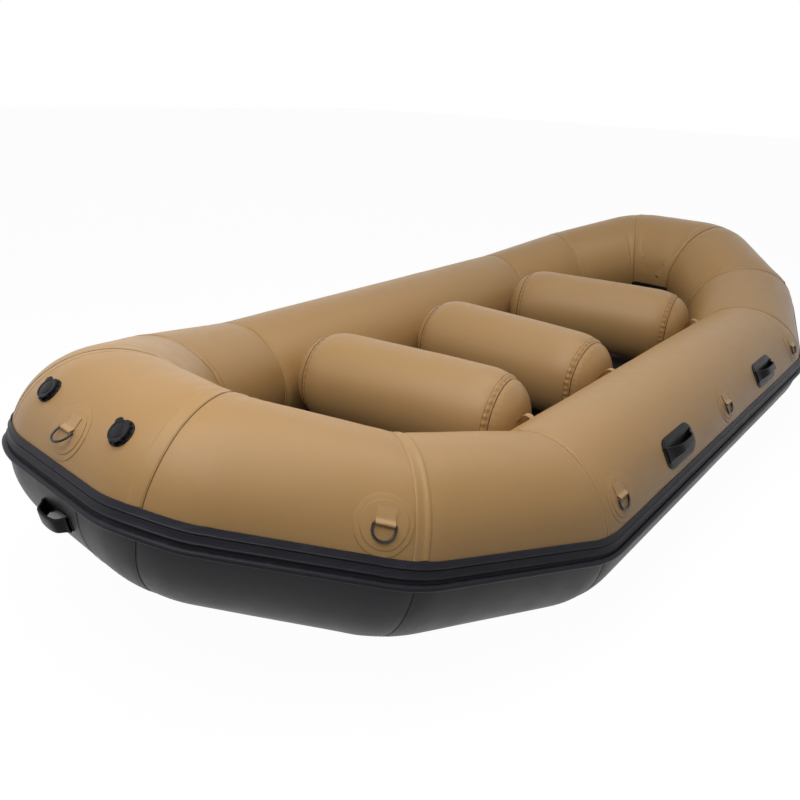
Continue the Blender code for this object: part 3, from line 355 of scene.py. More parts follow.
def placed(x: Vector, y: Vector, z: Vector, at: Vector) -> Matrix:
    """The matrix of a place with its own three directions.

    Args:
        x: the first direction.
        y: the second direction.
        z: the third direction.
        at: the place.

    Returns:
        The matrix from the place's own axes to the frame's.
    """
    matrix = Matrix((x, y, z)).transposed().to_4x4()
    matrix.translation = at
    return matrix


class Station(NamedTuple):
    """A place on the air tube's centre line, with its directions, radius and strake angle."""

    place: Vector
    forward: Vector
    outward: Vector
    up: Vector
    radius: float
    strake: float
    shift: Vector

    def out(self, angle: float) -> Vector:
        """Straight out of the tube: an angle of 0 faces outward, a quarter turn faces up."""
        return self.outward * math.cos(angle) + self.up * math.sin(angle)


@dataclass
class Hull:
    """The air tube's centre line as a closed loop from the bow's middle round by port."""

    side: tuple[float, ...] = (0.970, 0.719, 0.0, 0.2586, 13.9)
    quarter: tuple[float, ...] = (1.455, 0.542, 0.100, 0.261, 18.8)
    end: tuple[float, ...] = (1.779, 0.216, 0.225, 0.2617, 22.4)
    bend: float = 0.300
    outer_bend: float = 0.100
    clearance: float = 0.0003
    foot_angle: float = 6.5 * DEGREE
    seams: list[float] = field(default_factory=list)
    alongs: list[float] = field(default_factory=list)
    runs: list[tuple[Vector, Vector, Vector]] = field(default_factory=list)
    edges: list[float] = field(default_factory=list)
    length: float = 0.0
    axis_height: float = 0.0

    def __post_init__(self) -> None:
        """Round the corners, measure the loop and level the tan fabric's edge."""
        self.axis_height = self.side[3] * math.cos(self.foot_angle)
        port = [(c, 1, 1) for c in (self.end, self.quarter, self.side)]
        port += [(c, -1, 1) for c in (self.side, self.quarter, self.end)]
        self.loop = port + [(c, mirror_x, -1) for c, mirror_x, _ in reversed(port)]
        corners = [Vector((c[0] * mx, c[1] * my, self.axis_height + c[2])) for c, mx, my in self.loop]
        last = (corners[0] + corners[-1]) / 2
        middle, along = last, 0.0
        for i, here in enumerate(corners):
            rounded = self.rounded(corners[i - 1], here, corners[(i + 1) % len(corners)])
            for k, run in enumerate(rounded):
                along += (run[0] - last).length
                last = run[0]
                self.alongs.append(along)
                self.runs.append(run)
                if k == len(rounded) // 2:
                    self.seams.append(along)
        self.length = along + (middle - last).length
        self.edges = self.level_edges()

    def level_edges(self, steps: int = 434, bend: float = 0.06, end_lift: float = 0.005) -> list[float]:
        """Angles of the tan fabric's edge that keep it straight from seam to seam.

        Args:
            steps: how many even steps round the loop get an angle.
            bend: how far to each side of a seam the edge bends.
            end_lift: how much higher the edge is at the end corners.

        Returns:
            The angle at each step, with the first one again at the end.
        """
        places = [self.length * k / steps for k in range(steps + 1)]
        stations = [self.at(a) for a in places]
        edge = [self.plain(a, s.strake) for a, s in zip(places, stations)]
        run = np.concatenate(([0], np.cumsum([(far - near).length for near, far in zip(edge, edge[1:])])))
        keys = [self.plain(s, self.at(s).strake).z + (end_lift if i % 6 in (0, 5) else 0)
                for i, s in enumerate(self.seams)]
        spots = run[:, None] + np.linspace(-bend, bend, 9)
        heights = np.interp(spots, np.interp(self.seams, places, run), keys, period=run[-1]).mean(axis=1)
        angles = []
        for station, height in zip(stations, heights):
            shift = station.shift.z * (1 + math.cos(station.strake)) / 2
            angles.append(math.asin((height - station.place.z - shift) / station.radius / station.up.z))
        return angles

    def edge(self, along: float) -> float:
        """Angle of the tan fabric's edge over the strake at a distance round the loop."""
        share = along % self.length / self.length * (len(self.edges) - 1)
        k = int(share)
        return self.edges[k] + (self.edges[k + 1] - self.edges[k]) * (share - k)

    def rounded(self, before: Vector, here: Vector, after: Vector,
                steps: int = 12) -> list[tuple[Vector, Vector, Vector]]:
        """Points, directions and outer shifts of the arc that rounds one corner.

        Args:
            before: the corner before.
            here: the corner to round.
            after: the corner after.
            steps: how many steps the arc has.

        Returns:
            A (point, direction, shift) for each step. A shift leads from the soft arc to the same
            turn of the tight arc, which the outer side of the tube follows.
        """
        entry, leave = (here - before).normalized(), (after - here).normalized()
        turn = entry.angle(leave)
        side = (leave - entry * math.cos(turn)).normalized()

        def on_arc(radius: float, swung: float) -> Vector:
            """A point of the arc with a radius, at a turn from its start."""
            start = here - entry * (radius * math.tan(turn / 2))
            return start + (entry * math.sin(swung) + side * (1 - math.cos(swung))) * radius

        points = []
        for swung in spread(0, turn, steps):
            soft = on_arc(self.bend, swung)
            forward = entry * math.cos(swung) + side * math.sin(swung)
            points.append((soft, forward, on_arc(self.outer_bend, swung) - soft))
        return points

    def between_seams(self, along: float) -> Point2:
        """Tube radius and strake angle, blended from the seams on either side.

        Args:
            along: the distance round the loop.

        Returns:
            The radius and the angle.
        """
        before = bisect_right(self.seams, along) - 1
        start = self.seams[before] if before >= 0 else self.seams[-1] - self.length
        after = (before + 1) % len(self.seams)
        stop = self.seams[after] if before + 1 < len(self.seams) else self.seams[0] + self.length
        share = (along - start) / (stop - start)
        a, b = self.loop[before][0], self.loop[after][0]
        return a[3] + (b[3] - a[3]) * share, (a[4] + (b[4] - a[4]) * share) * DEGREE

    def at(self, along: float) -> Station:
        """The station at a distance round the loop.

        Args:
            along: the distance, which may go past the loop's end.

        Returns:
            The station, blended from the two nearest points of the centre line.
        """
        along %= self.length
        i = bisect_right(self.alongs, along)
        near, far = self.runs[i - 1], self.runs[i % len(self.runs)]
        start = self.alongs[i - 1] if i > 0 else self.alongs[-1] - self.length
        stop = self.alongs[i] if i < len(self.alongs) else self.alongs[0] + self.length
        share = (along - start) / (stop - start)
        forward = near[1].lerp(far[1], share).normalized()
        outward = forward.cross(Vector((0, 0, 1))).normalized()
        radius, strake = self.between_seams(along)
        return Station(near[0].lerp(far[0], share), forward, outward, outward.cross(forward), radius, strake,
                       near[2].lerp(far[2], share))

    def from_seam(self, along: float) -> float:
        """Signed distance from the nearest seam."""
        half = self.length / 2
        return min(((along % self.length - s + half) % self.length - half for s in self.seams), key=abs)

    def true_gap(self, along: float, angle: float, reach: float = 0.06) -> float:
        """Signed distance on the skin itself from the nearest seam.

        Args:
            along: the distance round the loop.
            angle: the angle round the tube.
            reach: how far from a seam the bend stretches or shortens the skin.

        Returns:
            The distance in metres.
        """
        gap = self.from_seam(along)
        outer = (1 + math.cos(angle)) / 2
        bend = self.bend + (self.outer_bend - self.bend) * outer + self.side[3] * math.cos(angle)
        stretched = min(abs(gap), reach) * bend / self.bend + max(abs(gap) - reach, 0)
        return math.copysign(stretched, gap)

    def relief(self, along: float, angle: float) -> float:
        """How far the blown-up fabric stands out or in: tight seams, soft swell and folds at the bends.

        Args:
            along: the distance round the loop.
            angle: the angle round the tube.

        Returns:
            The height over the plain tube in metres.
        """
        gap = self.true_gap(along, angle)
        pinch = -0.0016 * math.exp(-((gap / 0.010) ** 2)) - 0.0012 * math.exp(-((gap / 0.050) ** 2))
        where = Vector((math.cos(along * 1.457) * 2, math.sin(along * 1.457) * 2, angle * 1.3))
        swell = 0.0011 * noise.noise(where * 1.9)
        inner = ease(60 * DEGREE, 150 * DEGREE, angle) * (1 - ease(205 * DEGREE, 240 * DEGREE, angle))
        folds = noise.noise(Vector((along * 26, angle * 1.6, 3.7))) * math.exp(-((gap / 0.085) ** 2))
        return pinch + swell + folds * (0.0014 + 0.0030 * inner)

    def plain(self, along: float, angle: float, lift: float = 0) -> Vector:
        """A point over the plain tube.

        Args:
            along: the distance round the loop.
            angle: the angle round the tube.
            lift: the height over the tube.

        Returns:
            The point.
        """
        station = self.at(along)
        outer = (1 + math.cos(angle)) / 2
        return station.place + station.shift * outer + station.out(angle) * (station.radius + lift)

    def skin(self, along: float, angle: float, lift: float = 0) -> Vector:
        """A point over the tube's blown-up fabric, kept above the ground.

        Args:
            along: the distance round the loop.
            angle: the angle round the tube.
            lift: the height over the fabric.

        Returns:
            The point.
        """
        point = self.plain(along, angle, self.relief(along % self.length, angle) + lift)
        point.z = max(point.z, self.clearance)
        return point

    def frame(self, along: float, angle: float) -> Matrix:
        """A place on the fabric: X runs aft along the port side, Y up the skin, Z straight out.

        Args:
            along: the distance round the loop.
            angle: the angle round the tube.

        Returns:
            The place's matrix.
        """
        station = self.at(along)
        rise = station.up * math.cos(angle) - station.outward * math.sin(angle)
        return placed(station.forward, rise, station.out(angle), self.skin(along, angle))

    def row_angle(self, along: float, above: float = 0.080) -> float:
        """Angle of the row of fittings that lies a height above the strake."""
        station = self.at(along)
        return station.strake + above / station.radius

    def walk(self, along: float, angle: float, distance: float, strides: int = 4,
             probe: float = 0.006) -> float:
        """Distance round the loop after a walk of a true length on the skin.

        Args:
            along: where the walk starts.
            angle: the angle round the tube that it keeps.
            distance: its length, below 0 towards the loop's start.
            strides: how many strides it takes.
            probe: the short step that measures each stride.

        Returns:
            Where the walk ends.
        """
        if distance == 0:
            return along
        probe = math.copysign(probe, distance)
        for _ in range(strides):
            step = (self.plain(along + probe, angle) - self.plain(along, angle)).length
            along += distance / strides * abs(probe) / step
        return along

    def spot(self, along: float, angle: float, across: float, up: float, lift: float) -> Vector:
        """A point a true distance along the hull and up the skin from a place on it."""
        above = angle + up / self.at(along).radius
        return self.skin(self.walk(along, above, across), above, lift)


def as_object(name: str, data: bpy.types.ID) -> Thing:
    """Link a mesh, a lamp or a camera into the scene as an object at the origin."""
    thing = bpy.data.objects.new(name, data)
    bpy.context.scene.collection.objects.link(thing)
    return thing


def new_mesh(name: str, points: Sequence[Sequence[float]], edges: Sequence[tuple[int, int]] = (),
             faces: Sequence[tuple[int, ...]] = ()) -> bpy.types.Mesh:
    """A mesh of plain points, edges and faces.

    Args:
        name: the mesh's name.
        points: its points.
        edges: its loose edges, as pairs of point numbers.
        faces: its faces, as point numbers.

    Returns:
        The mesh.
    """
    mesh = bpy.data.meshes.new(name)
    mesh.from_pydata(points, edges, faces)
    return mesh


def stored(shape: bmesh.types.BMesh, mesh: bpy.types.Mesh, merge: bool = True) -> bpy.types.Mesh:
    """Write a closed bmesh to a mesh with its faces outwards, and free it.

    Args:
        shape: the bmesh.
        mesh: the mesh that it goes to.
        merge: whether points that coincide are merged first.

    Returns:
        The mesh.
    """
    if merge:
        bmesh.ops.remove_doubles(shape, verts=shape.verts, dist=MERGE)
    if shape.calc_volume(signed=True) < 0:
        bmesh.ops.reverse_faces(shape, faces=shape.faces)
    shape.to_mesh(mesh)
    shape.free()
    return mesh


def lofted(name: str, sections: Rows) -> Thing:
    """A closed body through closed sections with the same number of points.

    Args:
        name: the piece's name.
        sections: the sections in order; the first and the last get a face.

    Returns:
        The new object, its faces outwards.
    """
    shape = bmesh.new()
    rings = [[shape.verts.new(p) for p in section] for section in sections]
    count = len(sections[0])
    for near, far in zip(rings, rings[1:]):
        for j in range(count):
            k = (j + 1) % count
            shape.faces.new((near[j], near[k], far[k], far[j]))
    shape.faces.new(list(reversed(rings[0])))
    shape.faces.new(rings[-1])
    return as_object(name, stored(shape, bpy.data.meshes.new(name)))


def slab(name: str, matrix: Matrix, outline: Sequence[Point2], half: float,
         middle: float = 0) -> Thing:
    """A flat outline made a body with straight sides.

    Args:
        name: the piece's name.
        matrix: where the body goes.
        outline: (x, z) points of its edge.
        half: half its thickness along Y.
        middle: where its middle is on Y.

    Returns:
        The new object.
    """
    return lofted(name, [[matrix @ Vector((x, middle + y, z)) for x, z in outline] for y in (-half, half)])


def turned(name: str, profile: Sequence[Point2], matrix: Matrix, sides: int = 48) -> Thing:
    """A body turned about its own Z from (radius, height) points down its outer side.

    Args:
        name: the piece's name.
        profile: the points; a radius of 0 is a pole, and a profile without poles closes on itself.
        matrix: where the body goes.
        sides: how many faces go round it.

    Returns:
        The new object, its faces outwards.
    """
    shape = bmesh.new()
    rings = []
    for radius, height in profile:
        turns = [TURN * k / sides for k in range(sides if radius >= MERGE else 1)]
        points = [(radius * math.cos(a), radius * math.sin(a)) if radius >= MERGE else (0, 0) for a in turns]
        rings.append([shape.verts.new(matrix @ Vector((x, y, height))) for x, y in points])
    poles = len(rings[0]) == 1 or len(rings[-1]) == 1
    for near, far in list(zip(rings, rings[1:])) + ([] if poles else [(rings[-1], rings[0])]):
        for j in range(sides):
            k = (j + 1) % sides
            loop = [near[j % len(near)], near[k % len(near)], far[k % len(far)], far[j % len(far)]]
            shape.faces.new(list(dict.fromkeys(loop)))
    return as_object(name, stored(shape, bpy.data.meshes.new(name)))


def sheet_mesh(name: str, rows: Rows, flat: Callable[[int, int], Point2] | None = None) -> Thing:
    """An open surface through rows of points.

    Args:
        name: the piece's name.
        rows: the rows, with as many points each.
        flat: the flat place in metres of a point, from its row and its number in it.

    Returns:
        The new object.
    """
    width = len(rows[0])
    faces = [(i * width + j, (i + 1) * width + j, (i + 1) * width + j + 1, i * width + j + 1)
             for i in range(len(rows) - 1) for j in range(width - 1)]
    mesh = new_mesh(name, [p for row in rows for p in row], [], faces)
    if flat is not None:
        layer = mesh.uv_layers.new(name="lay")
        for loop in mesh.loops:
            layer.data[loop.index].uv = flat(*divmod(loop.vertex_index, width))
    return as_object(name, mesh)


def applied(thing: Thing) -> Thing:
    """Turn an object's modifiers into its mesh.

    Args:
        thing: the object.

    Returns:
        The same object.
    """
    depsgraph = bpy.context.evaluated_depsgraph_get()
    depsgraph.update()
    mesh = bpy.data.meshes.new_from_object(thing.evaluated_get(depsgraph))
    thing.modifiers.clear()
    thing.data = mesh
    return thing


def walled(thing: Thing, wall: float) -> Thing:
    """Give a surface its wall on the inside, as a closed body.

    Args:
        thing: the surface.
        wall: the wall's thickness.

    Returns:
        The same object.
    """
    shell = thing.modifiers.new("wall", "SOLIDIFY")
    shell.thickness, shell.offset = wall, -1
    applied(thing)
    shape = bmesh.new()
    shape.from_mesh(thing.data)
    stored(shape, thing.data, merge=False)
    return thing


def pierced(thing: Thing, holes: Iterable[Hole]) -> Thing:
    """Cut round holes through a piece.

    Args:
        thing: the piece.
        holes: the holes, each as (place, radius, half depth).

    Returns:
        The same object.
    """
    cutters = []
    for matrix, radius, depth in holes:
        cutter = turned("hole", [(0, depth), (radius, depth), (radius, -depth), (0, -depth)], matrix, 32)
        cut = thing.modifiers.new("hole", "BOOLEAN")
        cut.operation, cut.solver, cut.object = "DIFFERENCE", "EXACT", cutter
        cutters.append(cutter)
    applied(thing)
    for cutter in cutters:
        bpy.data.objects.remove(cutter)
    return thing


def joined(name: str, things: Sequence[Thing]) -> Thing:
    """Gather several bodies of one finish into one piece.

    Args:
        name: the piece's name.
        things: the bodies, which are removed.

    Returns:
        The new object.
    """
    shape = bmesh.new()
    for thing in things:
        shape.from_mesh(thing.data)
        bpy.data.objects.remove(thing)
    mesh = bpy.data.meshes.new(name)
    shape.to_mesh(mesh)
    shape.free()
    return as_object(name, mesh)


def settle(thing: Thing, finish: Finish, body: str = BODY, stands_for: Sequence[str] = (),
           sharp: float = 40) -> Thing:
    """Give a finished piece its material and shading, and tell the frame about it.

    Args:
        thing: the piece, at the origin.
        finish: what it is made of.
        body: the CAD body that it moves with.
        stands_for: CAD nodes that it replaces.
        sharp: edges sharper than this many degrees show as edges.

    Returns:
        The piece.
    """
    thing.data.materials.clear()
    thing.data.materials.append(finish.material())
    for face in thing.data.polygons:
        face.material_index = 0
    thing.data.shade_smooth()
    thing.data.set_sharp_from_angle(angle=sharp * DEGREE)
    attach(thing, body)
    if stands_for:
        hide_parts(*stands_for)
    LOG.info("%s: %d faces", thing.name, len(thing.data.polygons))
    return thing


class FormTree:
    """A Geometry Nodes tree with named inputs, which ends in plain dressed geometry."""

    title: ClassVar[str]
    kinds: ClassVar[dict[str, str]]

    def __init__(self) -> None:
        """Make the tree's inputs, its own nodes and its end."""
        self.tree = bpy.data.node_groups.new(self.title, "GeometryNodeTree")
        face = self.tree.interface
        self.sockets = {name: face.new_socket(name, in_out="INPUT", socket_type=f"NodeSocket{kind}")
                        for name, kind in self.kinds.items()}
        face.new_socket("Geometry", in_out="OUTPUT", socket_type="NodeSocketGeometry")
        nodes = Nodes(self.tree)
        given = nodes.make("NodeGroupInput").outputs
        body = self.grow(nodes, given)
        real = nodes.make("GeometryNodeRealizeInstances", None, {"Geometry": body}).outputs[0]
        dressed = nodes.make("GeometryNodeSetMaterial", None, {"Geometry": real, "Material": given["Finish"]})
        nodes.make("NodeGroupOutput", None, {"Geometry": dressed.outputs[0]})

    def grow(self, nodes: Nodes, given: bpy.types.NodeOutputs) -> bpy.types.NodeSocket:
        """The tree's own nodes, from its inputs to its geometry."""
        raise NotImplementedError

    @staticmethod
    def field(nodes: Nodes, name: str) -> bpy.types.NodeSocket:
        """A direction that the guide's points carry."""
        node = nodes.make("GeometryNodeInputNamedAttribute", {"data_type": "FLOAT_VECTOR"}, {"Name": name})
        return node.outputs["Attribute"]

    @staticmethod
    def guide(name: str, points: Sequence[Vector], edges: Sequence[tuple[int, int]],
              fields: dict[str, Sequence[Vector]]) -> Thing:
        """Points and edges for the tree to work on.

        Args:
            name: the piece's name.
            points: the points.
            edges: pairs of point numbers.
            fields: directions that the points carry, by name.

        Returns:
            The guide.
        """
        mesh = new_mesh(name, points, edges)
        for key, directions in fields.items():
            attribute = mesh.attributes.new(key, "FLOAT_VECTOR", "POINT")
            for item, direction in zip(attribute.data, directions):
                item.vector = direction
        return as_object(name, mesh)

    def run(self, guide: Thing, form: Thing, values: dict) -> Thing:
        """Run the tree on a guide and keep the result as its plain mesh.

        Args:
            guide: the points and edges.
            form: the small form that the tree uses, removed afterwards.
            values: the tree's inputs by name.

        Returns:
            The guide, now the piece.
        """
        modifier = guide.modifiers.new(self.title, "NODES")
        modifier.node_group = self.tree
        for key, value in values.items():
            modifier[self.sockets[key].identifier] = value
        applied(guide)
        bpy.data.objects.remove(form)
        return guide


class SweepTree(FormTree):
    """Carries a profile along paths that lie on a surface."""

    title = "sweep_along_paths"
    kinds = {"Paths": "Geometry", "Profile": "Object", "Height": "Float", "Width": "Float", "Capped": "Bool",
             "Finish": "Material"}

    def grow(self, nodes: Nodes, given: bpy.types.NodeOutputs) -> bpy.types.NodeSocket:
        """Paths with their normals, and the sized profile carried along them.

        Args:
            nodes: the tree's nodes.
            given: the tree's inputs.

        Returns:
            The swept geometry.
        """
        lines = nodes.make("GeometryNodeMeshToCurve", None, {"Mesh": given["Paths"]}).outputs[0]
        path = nodes.make("GeometryNodeSetCurveNormal", {"mode": "FREE"},
                          {"Curve": lines, "Normal": self.field(nodes, "lay")}).outputs[0]
        shape = nodes.make("GeometryNodeObjectInfo", None, {"Object": given["Profile"]}).outputs["Geometry"]
        outline = nodes.make("GeometryNodeMeshToCurve", None, {"Mesh": shape}).outputs[0]
        size = nodes.make("ShaderNodeCombineXYZ", None, {"X": given["Height"], "Y": given["Width"], "Z": 1.0})
        sized = nodes.make("GeometryNodeTransform", None, {"Geometry": outline, "Scale": size.outputs[0]})
        inputs = {"Curve": path, "Profile Curve": sized.outputs[0], "Fill Caps": given["Capped"]}
        return nodes.make("GeometryNodeCurveToMesh", None, inputs).outputs[0]

    def sweep(self, name: str, paths: Sequence[Path], profile: Sequence[Point2], size: Point2, finish: Finish,
              closed: bool = False) -> Thing:
        """Sweep a closed profile along one or more paths.

        Args:
            name: the piece's name.
            paths: runs of (point, outward direction).
            profile: (outward, sideways) points, in shares of the size.
            size: the profile's height and width in metres.
            finish: the piece's finish.
            closed: whether each path closes on itself.

        Returns:
            The swept piece as a plain mesh.
        """
        points, edges, lays = [], [], []
        for path in paths:
            first = len(points)
            points += [p for p, _ in path]
            lays += [n for _, n in path]
            edges += [(i, i + 1) for i in range(first, len(points) - 1)]
            if closed:
                edges.append((len(points) - 1, first))
        count = len(profile)
        outline = [(i, (i + 1) % count) for i in range(count)]
        section = as_object("outline", new_mesh("outline", [(x, y, 0) for x, y in profile], outline))
        values = {"Profile": section, "Height": size[0], "Width": size[1], "Capped": not closed,
                  "Finish": finish.material()}
        thing = self.run(self.guide(name, points, edges, {"lay": lays}), section, values)
        shape = bmesh.new()
        shape.from_mesh(thing.data)
        stored(shape, thing.data)
        return thing


class RowTree(FormTree):
    """Sets copies of one small form on points with their own directions."""

    title = "row_of_copies"
    kinds = {"Places": "Geometry", "Form": "Object", "Size": "Float", "Unevenness": "Float", "Seed": "Int",
             "Finish": "Material"}
    seed: ClassVar[int] = 7

    def grow(self, nodes: Nodes, given: bpy.types.NodeOutputs) -> bpy.types.NodeSocket:
        """Copies on the points, stood up along "out" and turned to "along".

        Args:
            nodes: the tree's nodes.
            given: the tree's inputs.

        Returns:
            The copies.
        """
        stand = nodes.make("FunctionNodeAlignRotationToVector", {"axis": "Z"},
                           {"Vector": self.field(nodes, "out")})
        turn = nodes.make("FunctionNodeAlignRotationToVector", {"axis": "X", "pivot_axis": "Z"},
                          {"Rotation": stand.outputs[0], "Vector": self.field(nodes, "along")})
        uneven = nodes.value(given["Unevenness"])
        vary = nodes.make("FunctionNodeRandomValue", {"data_type": "FLOAT"},
                          {2: 1.0 - uneven, 3: 1.0 + uneven, "Seed": given["Seed"]})
        scale = nodes.value(vary.outputs[1]) * nodes.value(given["Size"])
        form = nodes.make("GeometryNodeObjectInfo", None, {"Object": given["Form"], "As Instance": True})
        points = nodes.make("GeometryNodeMeshToPoints", None, {"Mesh": given["Places"]}).outputs[0]
        inputs = {"Points": points, "Instance": form.outputs["Geometry"], "Rotation": turn.outputs[0],
                  "Scale": scale}
        return nodes.make("GeometryNodeInstanceOnPoints", None, inputs).outputs[0]

    def row(self, name: str, places: Sequence[tuple[Vector, Vector, Vector]], form: Thing,
            size: float, finish: Finish, unevenness: float = 0.0) -> Thing:
        """Set a form on each place and return the copies as one plain mesh.

        Args:
            name: the piece's name.
            places: (point, outward direction, direction of the form's X).
            form: the form in its own unit size; it is removed afterwards.
            size: the scale of the copies.
            finish: the piece's finish.
            unevenness: the share by which the copies differ in size.

        Returns:
            The piece.
        """
        points, outs, alongs = zip(*places)
        values = {"Form": form, "Size": size, "Unevenness": unevenness, "Seed": self.seed,
                  "Finish": finish.material()}
        return self.run(self.guide(name, points, [], {"out": outs, "along": alongs}), form, values)


def joint_of(body: str) -> dict:
    """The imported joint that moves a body."""
    return next(j for j in frame["joints"] if j["child"] == body)


def pad_on(hull: Hull, name: str, spot: Point2, outline: Sequence[Point2], base: float, thick: float,
           edge: float) -> Thing:
    """A thin pad that follows the skin.

    Args:
        hull: the air tube.
        name: the piece's name.
        spot: distance round the loop and angle of the pad's middle.
        outline: (along, up) points of its edge about the middle, in metres.
        base: how high its back is over the fabric.
        thick: its thickness.
        edge: how far its upper edge is rounded in.

    Returns:
        The closed pad.
    """
    reach = min(math.hypot(*p) for p in outline)
    inset = 1 - edge / reach
    levels = [(0.25, thick), (0.5, thick), (0.72, thick), (0.88, thick), (inset - edge / reach, thick),
              (1 - (1 - inset) * 0.3, thick - edge * 0.3), (1, thick - edge), (1, 0), (0.75, 0), (0.4, 0)]
    rings = [[hull.spot(*spot, u * s, v * s, base + h) for u, v in outline] for s, h in levels]
    shape = bmesh.new()
    top, bottom = (shape.verts.new(hull.spot(*spot, 0, 0, base + h)) for h in (thick, 0))
    loops = [[shape.verts.new(p) for p in ring] for ring in rings]
    count = len(outline)
    for j in range(count):
        k = (j + 1) % count
        shape.faces.new((top, loops[0][j], loops[0][k]))
        shape.faces.new((bottom, loops[-1][k], loops[-1][j]))
        for near, far in zip(loops, loops[1:]):
            shape.faces.new((near[j], far[j], far[k], near[k]))
    return as_object(name, stored(shape, bpy.data.meshes.new(name)))


def circle(radius: float, sides: int) -> list[Point2]:
    """Points of a circle about the origin."""
    return arc((0, 0), radius, 0, 360, sides)[:-1]


def rounded_box(width: float, height: float, corner: float, steps: int = 5) -> list[Point2]:
    """Points of a rectangle with round corners about the origin, with points along its sides.

    Args:
        width: its width.
        height: its height.
        corner: the radius of its corners.
        steps: how many steps each corner has.

    Returns:
        The points in order.
    """
    x, y = width / 2 - corner, height / 2 - corner
    corners = [arc((x, y), corner, 0, 90, steps), arc((-x, y), corner, 90, 180, steps),
               arc((-x, -y), corner, 180, 270, steps), arc((x, -y), corner, 270, 360, steps)]
    points = []
    for i, here in enumerate(corners):
        points += here
        a, b = here[-1], corners[(i + 1) % 4][0]
        count = max(2, round(math.dist(a, b) / 0.012))
        points += [(a[0] + (b[0] - a[0]) * k / count, a[1] + (b[1] - a[1]) * k / count)
                   for k in range(1, count)]
    return points


class SeamStyle(Enum):
    """How a seam in the tan fabric looks: its band's two edges from the seam, and its ridge."""

    LINE = (0.004, 0.040)
    RAISED = (-0.018, 0.023)
    DOUBLE = (-0.005, 0.005)


